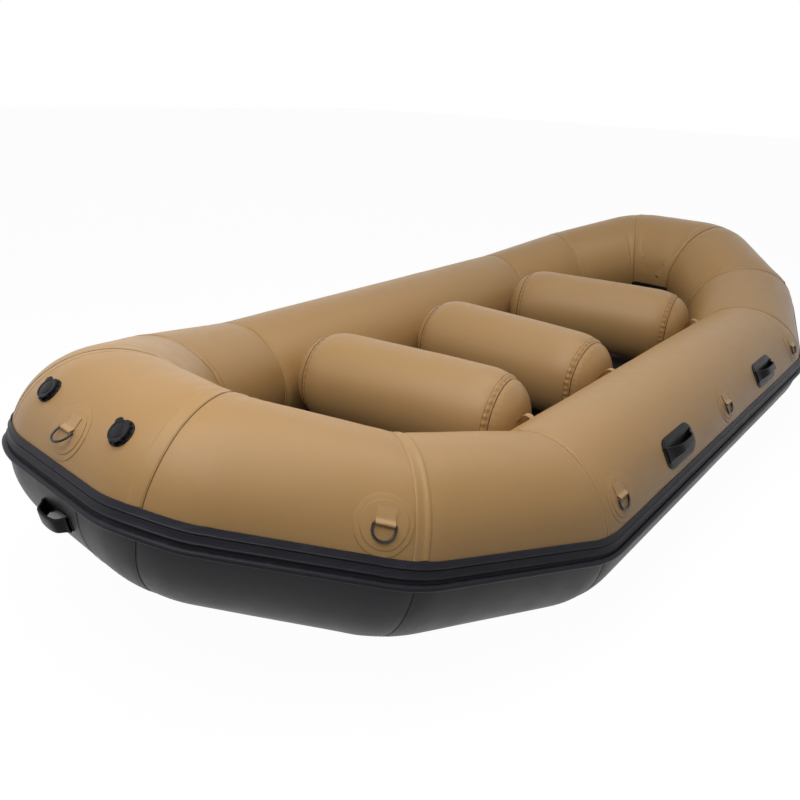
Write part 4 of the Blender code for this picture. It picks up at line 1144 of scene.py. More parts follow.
@dataclass
class TubeFabric:
    """The hull's tan and dark fabric skins, their seam bands and glue lines."""

    hull: Hull
    sweeps: SweepTree
    wall: float = 0.0012
    inner_seam: float = 205 * DEGREE
    strake_width: float = 0.074
    gap: float = 0.0003
    lap: float = 0.001
    band: float = 0.0009
    band_wall: float = 0.0006
    ridge: float = 0.0018
    line: Point2 = (0.0005, 0.0010)
    hull_line: Point2 = (0.0006, 0.0014)
    hull_line_top: float = 0.13
    hull_line_foot: float = 0.22
    bow_join: float = 0.055
    chafe: Point2 = (0.0012, 0.030)
    ring_steps: int = 54
    styles: tuple[SeamStyle, ...] = (SeamStyle.LINE, SeamStyle.RAISED, SeamStyle.DOUBLE)

    def split(self, along: float) -> float:
        """Angle of the line between tan and dark, under the middle of the strake."""
        return self.hull.edge(along) - self.strake_width / 2 / self.hull.at(along).radius

    def steps_between(self, start: float, stop: float) -> list[float]:
        """Distances round the loop, close together near the seams.

        Args:
            start: the first distance.
            stop: the last distance.

        Returns:
            The distances.
        """
        alongs, here = [start], start
        while stop - here > 0.004:
            near = abs(self.hull.from_seam(here))
            here = min(here + (0.0055 if near < 0.03 else 0.010 if near < 0.12 else 0.028), stop)
            alongs.append(here)
        return alongs

    def skin_of(self, name: str, span: Point2, low: Callable[[float], float], high: Callable[[float], float],
                steps: int, finish: Finish, holes: Sequence[Hole] = ()) -> None:
        """One stretch of fabric.

        Args:
            name: the piece's name.
            span: the two distances round the loop that it lies between.
            low: its first angle at a distance.
            high: its last angle at a distance.
            steps: how many steps it has between those angles.
            finish: its finish.
            holes: the valves' holes through it.
        """
        alongs = self.steps_between(*span)
        angles = [spread(low(a), high(a), steps) for a in alongs]
        rows = [[self.hull.skin(a, t) for t in row] for a, row in zip(alongs, angles)]
        radius = self.hull.side[3]
        thing = walled(sheet_mesh(name, rows, lambda i, j: (alongs[i], angles[i][j] * radius)), self.wall)
        if holes:
            pierced(thing, holes)
        settle(thing, finish, stands_for=[name.replace("_fabric", "_skin")], sharp=60)

    def build_skins(self, holes: dict[str, list[Hole]]) -> None:
        """Tan upper and dark lower fabric of the bow, the stern and both sides.

        Args:
            holes: the valves' holes in the bow's and the stern's tan fabric.
        """
        seams = self.hull.seams
        spans = {"bow": (seams[11] - self.hull.length, seams[0]), "port": (seams[0], seams[5]),
                 "stern": (seams[5], seams[6]), "starboard": (seams[6], seams[11])}
        for name, (start, stop) in spans.items():
            span = (start + self.gap, stop - self.gap)
            self.skin_of(f"{name}_upper_fabric", span, lambda a: self.split(a) + self.lap,
                         lambda a: self.inner_seam, 56, TAN, holes.get(name, ()))
            self.skin_of(f"{name}_lower_fabric", span, lambda a: self.inner_seam + self.lap,
                         lambda a: TURN + self.split(a) - self.lap, 44, DARK)

    def ring(self, seam: float, reach: float, low: float, high: float, lift: float) -> Path:
        """A path over the fabric round part of the tube.

        Args:
            seam: a seam's distance round the loop.
            reach: how far from the seam the path runs, on the skin.
            low: the angle that it starts at.
            high: the angle that it ends at.
            lift: its height over the fabric.

        Returns:
            The path's points with their outward directions.
        """
        path = []
        for t in spread(low, high, self.ring_steps):
            along = self.hull.walk(seam, t, reach)
            path.append((self.hull.skin(along, t, lift), self.hull.at(along).out(t)))
        return path

    def hull_ring(self, along: float) -> Path:
        """The path of a seam line down the dark hull."""
        foot = self.inner_seam + self.hull_line_foot
        return self.ring(along, 0, foot, TURN + self.split(along) - self.hull_line_top, self.hull_line[0])

    def band_on(self, seam: float, edges: Point2, low: float, high: float, ridge: float) -> Thing:
        """A strip of fabric glued round the tube.

        Args:
            seam: the seam's distance round the loop.
            edges: the strip's two edges, in metres of skin from the seam.
            low: the angle that it starts at.
            high: the angle that it ends at.
            ridge: how far the seam under it lifts it, beside its first edge.

        Returns:
            The strip.
        """
        shares = (0, 0.03, 0.12, 0.22, 0.32, 0.45, 0.6, 0.8, 0.97, 1)
        lifts = [0.0001] + [self.band] * (len(shares) - 2) + [0.0001]
        for i, share in ((2, 0.5), (3, 1.0), (4, 0.5)):
            lifts[i] += ridge * share
        rows = []
        for share, lift in zip(shares, lifts):
            reach = edges[0] + (edges[1] - edges[0]) * share
            rows.append([self.hull.skin(self.hull.walk(seam, t, reach), t, lift)
                         for t in spread(low, high, self.ring_steps)])
        return walled(sheet_mesh("band", rows), self.band_wall)

    def build_seams(self) -> None:
        """Bands and glue lines over the seams of the tan fabric, and the hull's own seam lines."""
        bands, strong, faint, dark = [], [], [], []
        for i, seam in enumerate(self.hull.seams):
            style = self.styles[min(i % 6, 5 - i % 6)]
            towards_end = -1 if i in (0, 1, 2, 6, 7, 8) else 1
            low, high = self.hull.edge(seam) + 0.004, self.inner_seam - 0.02
            edges = tuple(towards_end * e for e in style.value)
            bands.append(self.band_on(seam, edges, low, high, self.ridge if style is SeamStyle.RAISED else 0))
            if style is SeamStyle.LINE:
                strong.append(self.ring(seam, 0, low, high, 0.0012))
            else:
                faint += [self.ring(seam, e, low, high, 0.0002) for e in edges]
            dark.append(self.hull_ring(seam))
        dark += [self.hull_ring(join) for join in (self.bow_join, self.hull.length / 2 + self.bow_join)]
        settle(joined("seam_bands", bands), TAN_TAPE)
        for name, paths, size, finish in (("seam_glue_lines", strong, self.line, GLUE),
                                          ("seam_tape_edges", faint, self.line, FAINT_LINE),
                                          ("hull_seam_lines", dark, self.hull_line, HULL_LINE)):
            settle(self.sweeps.sweep(name, paths, TAPE_PROFILE, size, finish), finish)

    def build_chafe_strip(self, steps: int = 320) -> None:
        """The strip over the seam inside the boat, where the floor lies against the tubes.

        Args:
            steps: how many steps it has round the loop.
        """
        loop = [k * self.hull.length / steps for k in range(steps)]
        path = [(self.hull.skin(along, self.inner_seam, 0.0004), self.hull.at(along).out(self.inner_seam))
                for along in loop]
        strip = self.sweeps.sweep("inner_chafe_strip", [path], TAPE_PROFILE, self.chafe, DARK_TAPE,
                                  closed=True)
        settle(strip, DARK_TAPE)

    def build(self, holes: dict[str, list[Hole]]) -> None:
        """Skins, seams and the strip inside, with the valves' holes cut."""
        self.build_skins(holes)
        self.build_seams()
        self.build_chafe_strip()


@dataclass
class RubStrake:
    """The moulded rubber strake: a flat band, two fine ridges, a deep groove and a thick bead."""

    hull: Hull
    sweeps: SweepTree
    width: float = 0.074
    depth: float = 0.0155
    butt: float = 0.0002
    steps: int = 300

    def profile(self) -> list[Point2]:
        """The strake's section.

        Returns:
            (outward, downward) points in shares of depth and width, down the face and up the tube.
        """
        face = [(0.02, 0.0), (0.13, 0.004), (0.16, 0.012), (0.16, 0.205), (0.20, 0.212), (0.30, 0.222),
                (0.34, 0.236), (0.30, 0.250), (0.18, 0.256), (0.08, 0.266), (0.08, 0.288), (0.20, 0.300),
                (0.22, 0.315), (0.22, 0.515), (0.26, 0.523), (0.38, 0.535), (0.43, 0.552), (0.40, 0.570),
                (0.26, 0.580), (0.08, 0.592), (0.02, 0.61), (0.02, 0.72), (0.06, 0.735), (0.36, 0.744),
                (0.64, 0.758), (0.84, 0.785), (0.96, 0.820), (1.0, 0.862), (0.97, 0.905), (0.86, 0.942),
                (0.66, 0.972), (0.38, 0.992), (0.10, 1.0)]
        back = [(0.02, 0.80), (0.02, 0.6), (0.02, 0.4), (0.02, 0.2)]
        bulge = (self.width / 2) ** 2 / 2 / self.hull.side[3] / self.depth
        return [(lift - bulge * (2 * share - 1) ** 2, share - 0.5) for lift, share in face + back]

    def build(self) -> None:
        """The port and starboard lengths, butted at bow and stern."""
        half = self.hull.length / 2
        for name, start in (("port", 0.0), ("starboard", half)):
            path = []
            for along in spread(start + self.butt, start + half - self.butt, self.steps):
                station = self.hull.at(along)
                angle = self.hull.edge(along) - self.width / 2 / station.radius
                path.append((self.hull.plain(along, angle, 0.0004), station.out(angle)))
            size = (self.depth, self.width)
            strake = self.sweeps.sweep(f"{name}_strake", [path], self.profile(), size, STRAKE)
            settle(strake, STRAKE, stands_for=[f"rub_strake_{name}"], sharp=50)


@dataclass
class PlugValve:
    """A small valve with a round flange in the fabric and a pull-out cap."""

    rows: RowTree
    name: str
    flange: float = 0.026
    bore: float = 0.0125
    neck: float = 0.0155
    depth: float = 0.012
    cap: float = 0.019
    cap_low: float = 0.0033
    cap_thick: float = 0.004
    ribs: int = 20
    rib: float = 0.0022
    bar_half: float = 0.0016

    def place(self) -> Matrix:
        """Where the valve is, from its packed cap and that cap's joint.

        Returns:
            A place with its Z straight out of the fabric.
        """
        body = f"{self.name}_valve_cap"
        out = Vector(joint_of(body)["axis"]).normalized()
        low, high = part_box(body)
        side = Vector((0, 1, 0)).cross(out).normalized()
        middle = (self.cap_low + self.cap_thick - self.depth) / 2
        return placed(side, out.cross(side), out, (low + high) / 2 - out * middle)

    def hole(self) -> Hole:
        """The hole that the valve needs through the fabric."""
        return self.place(), (self.bore + self.neck) / 2, self.depth * 0.9

    def build(self) -> None:
        """Flange, cap with its grip bar, and the ribs on the cap's edge."""
        matrix = self.place()
        profile = [(self.bore, 0.0024), (self.bore + 0.0006, 0.003), (self.flange - 0.004, 0.003),
                   (self.flange - 0.001, 0.0022), (self.flange, 0.0008), (self.flange, -0.0008),
                   (self.neck, -0.0008), (self.neck, -self.depth), (self.bore, -self.depth)]
        settle(turned(f"{self.name}_valve_flange", profile, matrix), PLASTIC)
        top = self.cap_low + self.cap_thick
        cap = [(0, top - 0.001), (0.011, top - 0.001), (0.0125, top), (self.cap - 0.0012, top),
               (self.cap, top - 0.0012), (self.cap, self.cap_low), (self.bore - 0.0006, self.cap_low),
               (self.bore - 0.0008, 0.0), (self.bore - 0.001, -self.depth + 0.001), (0.009, -self.depth),
               (0, -self.depth)]
        foot = top - 0.0012
        bar = [(0.0085, foot), (0.0085, foot + 0.0026), (0.0075, foot + 0.0036), (-0.0075, foot + 0.0036),
               (-0.0085, foot + 0.0026), (-0.0085, foot)]
        lid = joined(f"{self.name}_valve_lid",
                     [turned("cap", cap, matrix), slab("grip", matrix, bar, self.bar_half)])
        body = f"{self.name}_valve_cap"
        settle(lid, CAP_PLASTIC, body=body, stands_for=[body])
        nub = lofted("nub", [[Vector((x, y, z)) for x, y in circle(radius, 8)]
                             for radius, z in ((0.5, 0), (0.5, 0.5), (0.25, 0.8))])
        turn = matrix.to_3x3()
        places = [(matrix @ Vector((x, y, self.cap_low + 0.002)), turn @ Vector((x, y, 0)).normalized(),
                   turn.col[2]) for x, y in circle(self.cap - 0.0002, self.ribs)]
        ribs = self.rows.row(f"{self.name}_valve_lid_ribs", places, nub, self.rib, CAP_PLASTIC)
        settle(ribs, CAP_PLASTIC, body=body)


@dataclass
class ChamberValve:
    """One of the big air valves: flange with lobes, collar, hinge ears, and a flip cap with a tab."""

    rows: RowTree
    name: str
    flange: float = 0.0345
    collar: float = 0.0275
    bore: float = 0.0205
    neck: float = 0.0235
    cap: float = 0.0288
    cap_low: float = 0.0090
    cap_top: float = 0.0138
    hinge: Point2 = (0.0305, 0.0128)
    ear: float = 0.0026
    ear_half: float = 0.0019
    ear_middle: float = 0.0093
    knuckle: Point2 = (0.0022, 0.0069)
    pin: Point2 = (0.0012, 0.011)
    lobes: int = 12
    lobe: float = 0.0076

    def place(self) -> Matrix:
        """Where the valve is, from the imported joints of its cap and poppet.

        Returns:
            A place with X to the hinge and Z straight out of the fabric.
        """
        cap = joint_of(f"{self.name}_valve_cap")
        z = -Vector(joint_of(f"{self.name}_valve_poppet")["axis"]).normalized()
        y = Vector(cap["axis"]).normalized()
        x = y.cross(z)
        return placed(x, y, z, Vector(cap["pos_m"]) - x * self.hinge[0] - z * self.hinge[1])

    def hole(self) -> Hole:
        """The hole that the valve needs through the fabric."""
        return self.place(), self.neck + 0.0008, 0.018

    def build(self) -> None:
        """The fixed body, the cap that flips open and the poppet's finish."""
        self.build_body()
        self.build_cap()
        poppet = frame["nodes"][f"{self.name}_valve_poppet"]
        poppet.material_slots[0].material = CAP_PLASTIC.material()

    def build_body(self) -> None:
        """Flange, collar, seat, hinge ears and lobes."""
        matrix = self.place()
        body = [(self.bore, 0.0082), (self.bore + 0.0005, 0.0086), (self.collar - 0.0012, 0.0086),
                (self.collar, 0.0076), (self.collar, 0.0042), (self.collar + 0.0008, 0.0032),
                (self.flange - 0.003, 0.0030), (self.flange - 0.0008, 0.0020), (self.flange, 0.0006),
                (self.flange, -0.0012), (self.neck, -0.0012), (self.neck, -0.016), (self.bore, -0.016),
                (self.bore, -0.005), (0.0046, -0.005), (0.0046, -0.002), (self.bore, -0.002)]
        reach, height = self.hinge
        ear = [(reach - self.ear, 0.0015), (reach - self.ear, height),
               *arc((reach, height), self.ear, 180, 0, 8)[1:], (reach + self.ear, 0.0015)]
        pieces = [turned("body", body, matrix, 64)]
        pieces += [slab("ear", matrix, ear, self.ear_half, side * self.ear_middle) for side in (-1, 1)]
        settle(joined(f"{self.name}_valve_housing", pieces), PLASTIC, stands_for=[f"{self.name}_valve_body"])
        taper = 0.35
        lobe = lofted("lobe", [[Vector((x * (1 - z * taper), y * (1 - z * taper), z * 0.5))
                                for x, y in circle(0.5, 14)] for z in (0, 0.7, 0.92, 1.0)])
        turn = matrix.to_3x3()
        places = [(matrix @ Vector((x, y, 0.0018)), turn.col[2], turn @ Vector((x, y, 0)))
                  for x, y in circle(self.flange - 0.0042, self.lobes)]
        settle(self.rows.row(f"{self.name}_valve_lobes", places, lobe, self.lobe, PLASTIC), PLASTIC)

    def build_cap(self) -> None:
        """The flip cap: raised disc, rim, plug skirt, knuckle with its pin, and lift tab."""
        matrix = self.place()
        reach, height = self.hinge
        low, top = self.cap_low, self.cap_top
        cap = [(0, top + 0.0006), (0.0165, top + 0.0006), (0.0180, top + 0.0001), (0.0190, top - 0.0008),
               (0.0215, top - 0.0008), (0.0228, top), (self.cap - 0.0012, top), (self.cap, top - 0.0014),
               (self.cap, low), (0.0192, low), (0.0192, 0.0053), (0.0095, 0.0053), (0.0095, low), (0, low)]
        pieces = [turned("cap", cap, matrix, 64)]
        for radius, half in (self.knuckle, self.pin):
            rod = [(reach + x, height + z) for x, z in circle(radius, 14)]
            pieces.append(slab("rod", matrix, rod, half))
        neck = [(0.0268, height - 0.0011), (reach, height - 0.0011), (reach, height + 0.0011),
                (0.0268, height + 0.0009)]
        pieces.append(slab("neck", matrix, neck, self.knuckle[1]))
        low_z, high_z = top - 0.0040, top - 0.0010
        tab = []
        for s, half in ((0, 0.0115), (0.4, 0.0112), (0.75, 0.0095), (0.93, 0.0068), (1, 0.004)):
            x = -self.cap + 0.0015 - 0.0095 * s
            section = ((half, low_z), (half, high_z - 0.0005), (half - 0.0006, high_z),
                       (0.0006 - half, high_z), (-half, high_z - 0.0005), (-half, low_z))
            tab.append([matrix @ Vector((x, y, z)) for y, z in section])
        pieces.append(lofted("tab", tab))
        body = f"{self.name}_valve_cap"
        settle(joined(f"{self.name}_valve_flap", pieces), CAP_PLASTIC, body=body, stands_for=[body])


@dataclass
class RingSet:
    """A D-ring set: two round patches, a folded webbing loop with its stitches and the wire ring in it."""

    hull: Hull
    sweeps: SweepTree
    rows: RowTree
    name: str
    along: float
    lift: float
    patch: float = 0.073
    upper_patch: float = 0.058
    # Height and width of the painted shade lines along the patches' lower edges.
    patch_line: Point2 = (0.0006, 0.0013)
    patch_top: float = 0.0026
    webbing: float = 0.047
    layer: float = 0.0010
    slack: float = 0.0005
    stitch: float = 0.0028
    stitch_inset: float = 0.0035
    wire: float = 0.0031
    bar: float = 0.007
    half: float = 0.0275
    corner: float = 0.0035
    arm: float = 0.008

    def place(self) -> Matrix:
        """The ring's bar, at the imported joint.

        Returns:
            A place with X along the hull, Y up the skin and Z out.
        """
        joint = joint_of(self.name)
        x = -Vector(joint["axis"]).normalized()
        z = self.hull.frame(self.along, self.hull.row_angle(self.along)).to_3x3().col[2]
        y = z.cross(x).normalized()
        return placed(x, y, x.cross(y), Vector(joint["pos_m"]))

    def build(self) -> None:
        """Patches with lines of painted shade along their lower edges, webbing, stitches and ring."""
        self.build_patches()
        settle(self.loop(), WEBBING, sharp=50)
        self.build_stitches()
        self.build_ring()

    def build_patches(self) -> None:
        """The two round patches, and thin dark lines of painted shade along their lower edges."""
        spot = (self.along, self.hull.row_angle(self.along))
        pieces = [pad_on(self.hull, "patch", spot, circle(self.patch, 64), 0.0002, 0.0009, 0.0004),
                  pad_on(self.hull, "patch", spot, circle(self.upper_patch, 56), 0.0009, 0.0015, 0.0005)]
        settle(joined(f"{self.name}_patch", pieces), TAN_TAPE, stands_for=[f"{self.name}_mount"], sharp=30)
        out = self.hull.frame(*spot).to_3x3().col[2]
        # Painted shade: dark arcs swept only round the lower sides of the two patch rims, where their edges
        # lie in shade.
        rims = []
        for radius, lift, start, stop in ((self.patch, 0.0003, -150, 5),
                                          (self.upper_patch, 0.0012, -160, 40)):
            rims.append([(self.hull.spot(*spot, u, v, lift), out)
                         for u, v in arc((0, 0), radius, start, stop, 40)])
        glue = self.sweeps.sweep(f"{self.name}_patch_glue", rims, THREAD_PROFILE, self.patch_line, FAINT_LINE)
        settle(glue, FAINT_LINE)

    def build_ring(self) -> None:
        """The wire ring, hung at its rest angle."""
        side = self.half - self.corner
        outline = arc((side, -self.corner), self.corner, 90, 0, 5)
        outline += arc((0, -self.corner - self.arm), self.half, 0, -180, 28)
        outline += arc((-side, -self.corner), self.corner, 180, 90, 5)
        tilt = self.place() @ Matrix.Rotation(-self.lift * DEGREE, 4, "X")
        path = [(tilt @ Vector((x, y, 0)), tilt.to_3x3().col[2]) for x, y in outline]
        size = (2 * self.wire, 2 * self.wire)
        ring = self.sweeps.sweep(f"{self.name}_wire", [path], circle(0.5, 16), size, WIRE, closed=True)
        settle(ring, WIRE, body=self.name, stands_for=[self.name], sharp=60)

    def on_patch(self, v: float, lift: float) -> Point2:
        """A place up the patch from the bar, and its height there, as the patch bends with the tube."""
        radius = self.hull.at(self.along).radius
        return v, self.patch_top - self.bar + lift - radius * (1 - math.cos(v / radius))

    def build_stitches(self) -> None:
        """Two rows of stitches up the tab and one across it."""
        side = self.webbing / 2 - self.stitch_inset
        spots = [(u, v, (0, 1, 0)) for u in (-side, side) for v in spread(0.015, 0.036, 6)]
        spots += [(u, 0.037, (1, 0, 0)) for u in spread(-side + 0.004, side - 0.004, 8)]
        place = self.place()
        turn = place.to_3x3()
        lift = 2 * self.layer + 0.0001
        places = [(place @ Vector((u, *self.on_patch(v, lift))), turn.col[2], turn @ Vector(along))
                  for u, v, along in spots]
        stitch = lofted("stitch", [[Vector((x, y * w, z * w)) for y, z in circle(0.16, 6)]
                                   for x, w in ((-0.5, 0.4), (-0.3, 1), (0.3, 1), (0.5, 0.4))])
        settle(self.rows.row(f"{self.name}_stitches", places, stitch, self.stitch, WEBBING, 0.1), WEBBING)

    def loop(self) -> Thing:
        """The webbing: folded over the bar, with a long tab up the patch.

        Returns:
            The webbing.
        """
        place, hole = self.place(), self.wire + self.slack
        base, thick = self.patch_top - self.bar, self.layer
        outside = [self.on_patch(v, 2 * thick) for v in spread(0.040, 0.014, 6)]
        outside += [(0.0105, base + 2 * thick + 0.0004), (0.0078, base + 2 * thick + 0.0018)]
        outside += arc((0, 0), hole + thick, 50, 225, 14)
        outside += [(-0.0012, base + 0.0002), (0.004, base + 0.00005)]
        outside += [self.on_patch(v, 0) for v in spread(0.010, 0.040, 6)]
        inside = [self.on_patch(v, thick - 0.00005) for v in (0.039, 0.012)]
        inside += arc((0, 0), hole, 285, 20, 18)
        inside += [self.on_patch(v, thick + 0.00005) for v in (0.012, 0.039)]
        sections = [[place @ Vector((u, v, w)) for v, w in outside + inside]
                    for u in spread(-self.webbing / 2, self.webbing / 2, 4)]
        return lofted(f"{self.name}_webbing", sections)


@dataclass
class GripCurve:
    """A smooth curve through the stations (along, height, width) of a grip."""

    stations: list[Point3]
    probe: float = 0.004

    def value(self, share: float) -> Point3:
        """The curve at a share of its length.

        Args:
            share: the share, from 0 to 1.

        Returns:
            The place along, the height and the width there.
        """
        last = len(self.stations) - 1
        t = min(max(share, 0.0), 1.0) * last
        k = min(int(t), last - 1)
        t -= k
        a, b, c, d = (self.stations[min(max(k + i, 0), last)] for i in (-1, 0, 1, 2))
        return tuple(q + (r - p) * t / 2 + (2 * p - 5 * q + 4 * r - s) * t * t / 2
                     + (3 * q - p - 3 * r + s) * t**3 / 2 for p, q, r, s in zip(a, b, c, d))

    def lean(self, share: float) -> float:
        """The angle of the curve's rise at a share of its length."""
        near, far = self.value(share - self.probe), self.value(share + self.probe)
        return math.atan2(far[1] - near[1], far[0] - near[0])


class GripStyle(Enum):
    """How a handle's grip stands on its pad."""

    BRIDGE = 1
    STRAP = 2


@dataclass
class Handle:
    """A rubber handle: a pad that follows the tube and a grip moulded on it."""

    hull: Hull
    name: str
    along: float
    angle: float
    style: GripStyle
    steps: int = 60

    def stations(self) -> tuple[list[Point3], float]:
        """The grip's form.

        Returns:
            Its stations (along, height, width) from one foot to its middle, and its thickness.
        """
        if self.style is GripStyle.BRIDGE:
            return [(-0.107, 0.0050, 0.052), (-0.094, 0.0080, 0.046), (-0.080, 0.0130, 0.039),
                    (-0.062, 0.0250, 0.031), (-0.050, 0.0302, 0.027), (-0.040, 0.0322, 0.026),
                    (-0.020, 0.0332, 0.025), (0.0, 0.0334, 0.025)], 0.0075
        return [(-0.060, 0.0045, 0.046), (-0.054, 0.0090, 0.043), (-0.047, 0.0180, 0.040),
                (-0.039, 0.0255, 0.040), (-0.028, 0.0290, 0.040), (-0.014, 0.0305, 0.040),
                (0.0, 0.0310, 0.040)], 0.0085

    def layers(self) -> list[tuple[float, ...]]:
        """The pad's layers: length, height, corner, base, thickness and rounded edge."""
        if self.style is GripStyle.BRIDGE:
            return [(0.238, 0.102, 0.040, 0.0004, 0.0036, 0.0014),
                    (0.222, 0.086, 0.033, 0.0026, 0.0024, 0.0010)]
        return [(0.138, 0.048, 0.012, 0.0003, 0.0020, 0.0008)]

    def grip(self) -> Thing:
        """The moulded grip, carried through its stations with its edges rounded.

        Returns:
            The grip.
        """
        half, thick = self.stations()
        curve = GripCurve(half + [(-x, z, w) for x, z, w in half[-2::-1]])
        place = self.hull.frame(self.along, self.angle)
        radius = self.hull.at(self.along).radius
        usual_width = 0.036
        outline = [(w / usual_width, h) for w, h in rounded_box(usual_width, thick, thick * 0.36, 4)]
        rows = []
        for k in range(self.steps + 1):
            x, z, width = curve.value(k / self.steps)
            tilt = curve.lean(k / self.steps)
            sine, cosine = math.sin(tilt), math.cos(tilt)
            rows.append([place @ Vector((x - h * sine, w, z + h * cosine - w * w / radius / 2))
                         for w, h in ((share * width, h) for share, h in outline)])
        return lofted("grip", rows)

    def build(self) -> None:
        """The pad's layers and the grip."""
        spot = (self.along, self.angle)
        pieces = [pad_on(self.hull, "pad", spot, rounded_box(length, height, corner), base, thick, edge)
                  for length, height, corner, base, thick, edge in self.layers()]
        moulding = joined(self.name + "_moulding", pieces + [self.grip()])
        settle(moulding, RUBBER, stands_for=[self.name], sharp=45)


@dataclass
class Thwart:
    """An inflated cross seat: barrel, two rounded ends behind puckered tape, tie straps and a valve."""

    hull: Hull
    sweeps: SweepTree
    rows: RowTree
    name: str
    x: float
    rise: float
    turn: float
    radius: float = 0.186
    dome: float = 0.195
    power: float = 2.5
    rim: float = 0.080
    wall: float = 0.0012
    sides: int = 124
    band_wall: float = 0.0006
    line: Point2 = (0.0012, 0.0030)
    tape_line: Point2 = (0.0008, 0.0016)
    tape_reach: float = 0.0215
    tape_pucker: float = 1.6
    strap: Point2 = (0.002, 0.025)
    strap_foot: Point2 = (0.055, 0.050)

    def place(self) -> Matrix:
        """The thwart's middle: Y runs along it to port."""
        height = self.hull.axis_height + self.rise
        return Matrix.Translation((self.x, 0, height)) @ Matrix.Rotation(self.turn, 4, "Z")

    def reaches(self) -> Point2:
        """The two end points' places on Y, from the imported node.

        Returns:
            The starboard and the port end.
        """
        back = self.place().inverted()
        local = [back @ v.co for v in frame["nodes"][self.name].data.vertices]
        on_axis = [p.y for p in local if math.hypot(p.x, p.z) < 0.01]
        return min(on_axis), max(on_axis)

    def outline(self, low: float, high: float) -> list[Point2]:
        """The thwart's plain form.

        Args:
            low: the starboard end.
            high: the port end.

        Returns:
            (place along the thwart, radius) from one tip to the other.
        """
        leans = [QUARTER * k / 24 for k in range(25)]
        sharpness = 2 / self.power
        ends = [(self.dome * math.cos(lean) ** sharpness, math.sin(lean) ** sharpness * self.radius)
                for lean in leans]
        near, far = low + self.dome, high - self.dome
        start = [(near - h, r) for h, r in ends]
        stop = [(far + h, r) for h, r in reversed(ends)]
        count = round((far - near) / 0.012)
        return start + [(near + (far - near) * k / count, self.radius) for k in range(1, count)] + stop

    def girth(self, y: float, low: float, high: float) -> float:
        """The plain fabric's radius at a place along the thwart."""
        beyond = max(low + self.dome - y, y - high + self.dome, 0) / self.dome
        return self.radius * max(1 - beyond**self.power, 0) ** (1 / self.power)

    def relief(self, y: float, rims: Point2, turn: float) -> float:
        """How far the fabric stands out or in: a tight seam, puckers beside it, and soft lumps.

        Args:
            y: the place along the thwart.
            rims: the places of its two seams.
            turn: the angle round it.

        Returns:
            The height over the plain form.
        """
        gap = min((abs(y - rim) for rim in rims))
        uneven = 0.8 + 0.5 * noise.noise(Vector((turn * 4, y, 1.1)))
        beat = math.sin(turn * 40 + 1.3 * math.sin(turn * 3)) * uneven
        pinch = -0.0038 * math.exp(-((gap / 0.009) ** 2)) - 0.0022 * math.exp(-((gap / 0.045) ** 2))
        pucker = beat * 0.0016 * math.exp(-(((gap - 0.012) / 0.011) ** 2))
        swell = noise.noise(Vector((math.cos(turn) * 1.2, math.sin(turn) * 1.2, y * 5))) * 0.0018
        return pinch + pucker + swell

    @staticmethod
    def point(place: Matrix, y: float, radius: float, turn: float, lift: float = 0) -> Vector:
        """A point of the fabric; turn 0 faces the bow and a quarter turn faces up."""
        return place @ Vector(((radius + lift) * math.cos(turn), y, (radius + lift) * math.sin(turn)))

    def build(self) -> None:
        """Fabric, blown up where time allows, then tape, lines, straps and valve."""
        place, (low, high) = self.place(), self.reaches()
        rims = (low + self.rim, high - self.rim)
        turns = [TURN * k / self.sides for k in range(self.sides)]
        sections = []
        for y, radius in self.outline(low, high):
            fade = min(1.0, radius / (0.6 * self.radius))
            sections.append([self.point(place, y, radius, t, self.relief(y, rims, t) * fade) for t in turns])
        thing = lofted(f"{self.name}_fabric", sections[1:-1])
        self.blow_up(thing, place, rims)
        valve = PlugValve(self.rows, self.name)
        pierced(walled(thing, self.wall), [valve.hole()])
        settle(thing, TAN_ROUND, stands_for=[self.name], sharp=60)
        self.build_tapes(place, (low, high), rims)
        self.build_straps(place, low, high)
        valve.build()

    def build_tapes(self, place: Matrix, ends: Point2, rims: Point2) -> None:
        """The puckered tape inside each seam, with a dark line at the seam and a faint one at its far edge.

        Args:
            place: the thwart's middle.
            ends: the places of its two tips.
            rims: the places of its two seams.
        """
        lifts = (0.0001, 0.0009, 0.0013, 0.0015, 0.0015, 0.0015, 0.0013, 0.0009, 0.0001)
        steps = spread(0.003, 0.021, len(lifts) - 1)

        def ring(y: float, turns: Sequence[float], pucker: float, lift: float) -> list[Vector]:
            """Points round the fabric at one place, over its puckers."""
            girth = self.girth(y, *ends)
            return [self.point(place, y, girth, t, self.relief(y, rims, t) * pucker + lift) for t in turns]

        turns = spread(0, TURN, 180)[:-1]
        rounds = spread(0, TURN, 320)
        outs = [place.to_3x3() @ Vector((math.cos(t), 0, math.sin(t))) for t in turns]
        bands, lines, edges = [], [], []
        for side, rim in ((1, rims[0]), (-1, rims[1])):
            lines.append(list(zip(ring(rim, turns, 1, 0.0006), outs)))
            far = rim + side * self.tape_reach
            edges.append(list(zip(ring(far, turns, self.tape_pucker, 0.0008), outs)))
            rows = [ring(rim + side * step, rounds, self.tape_pucker, lift)
                    for step, lift in zip(steps, lifts)]
            bands.append(walled(sheet_mesh("band", rows), self.band_wall))
        settle(joined(f"{self.name}_end_tapes", bands), TAN_TAPE)
        for name, paths, size, finish in (("end_lines", lines, self.line, GLUE),
                                          ("tape_edges", edges, self.tape_line, FAINT_LINE)):
            line = self.sweeps.sweep(f"{self.name}_{name}", paths, TAPE_PROFILE, size, finish, closed=True)
            settle(line, finish)

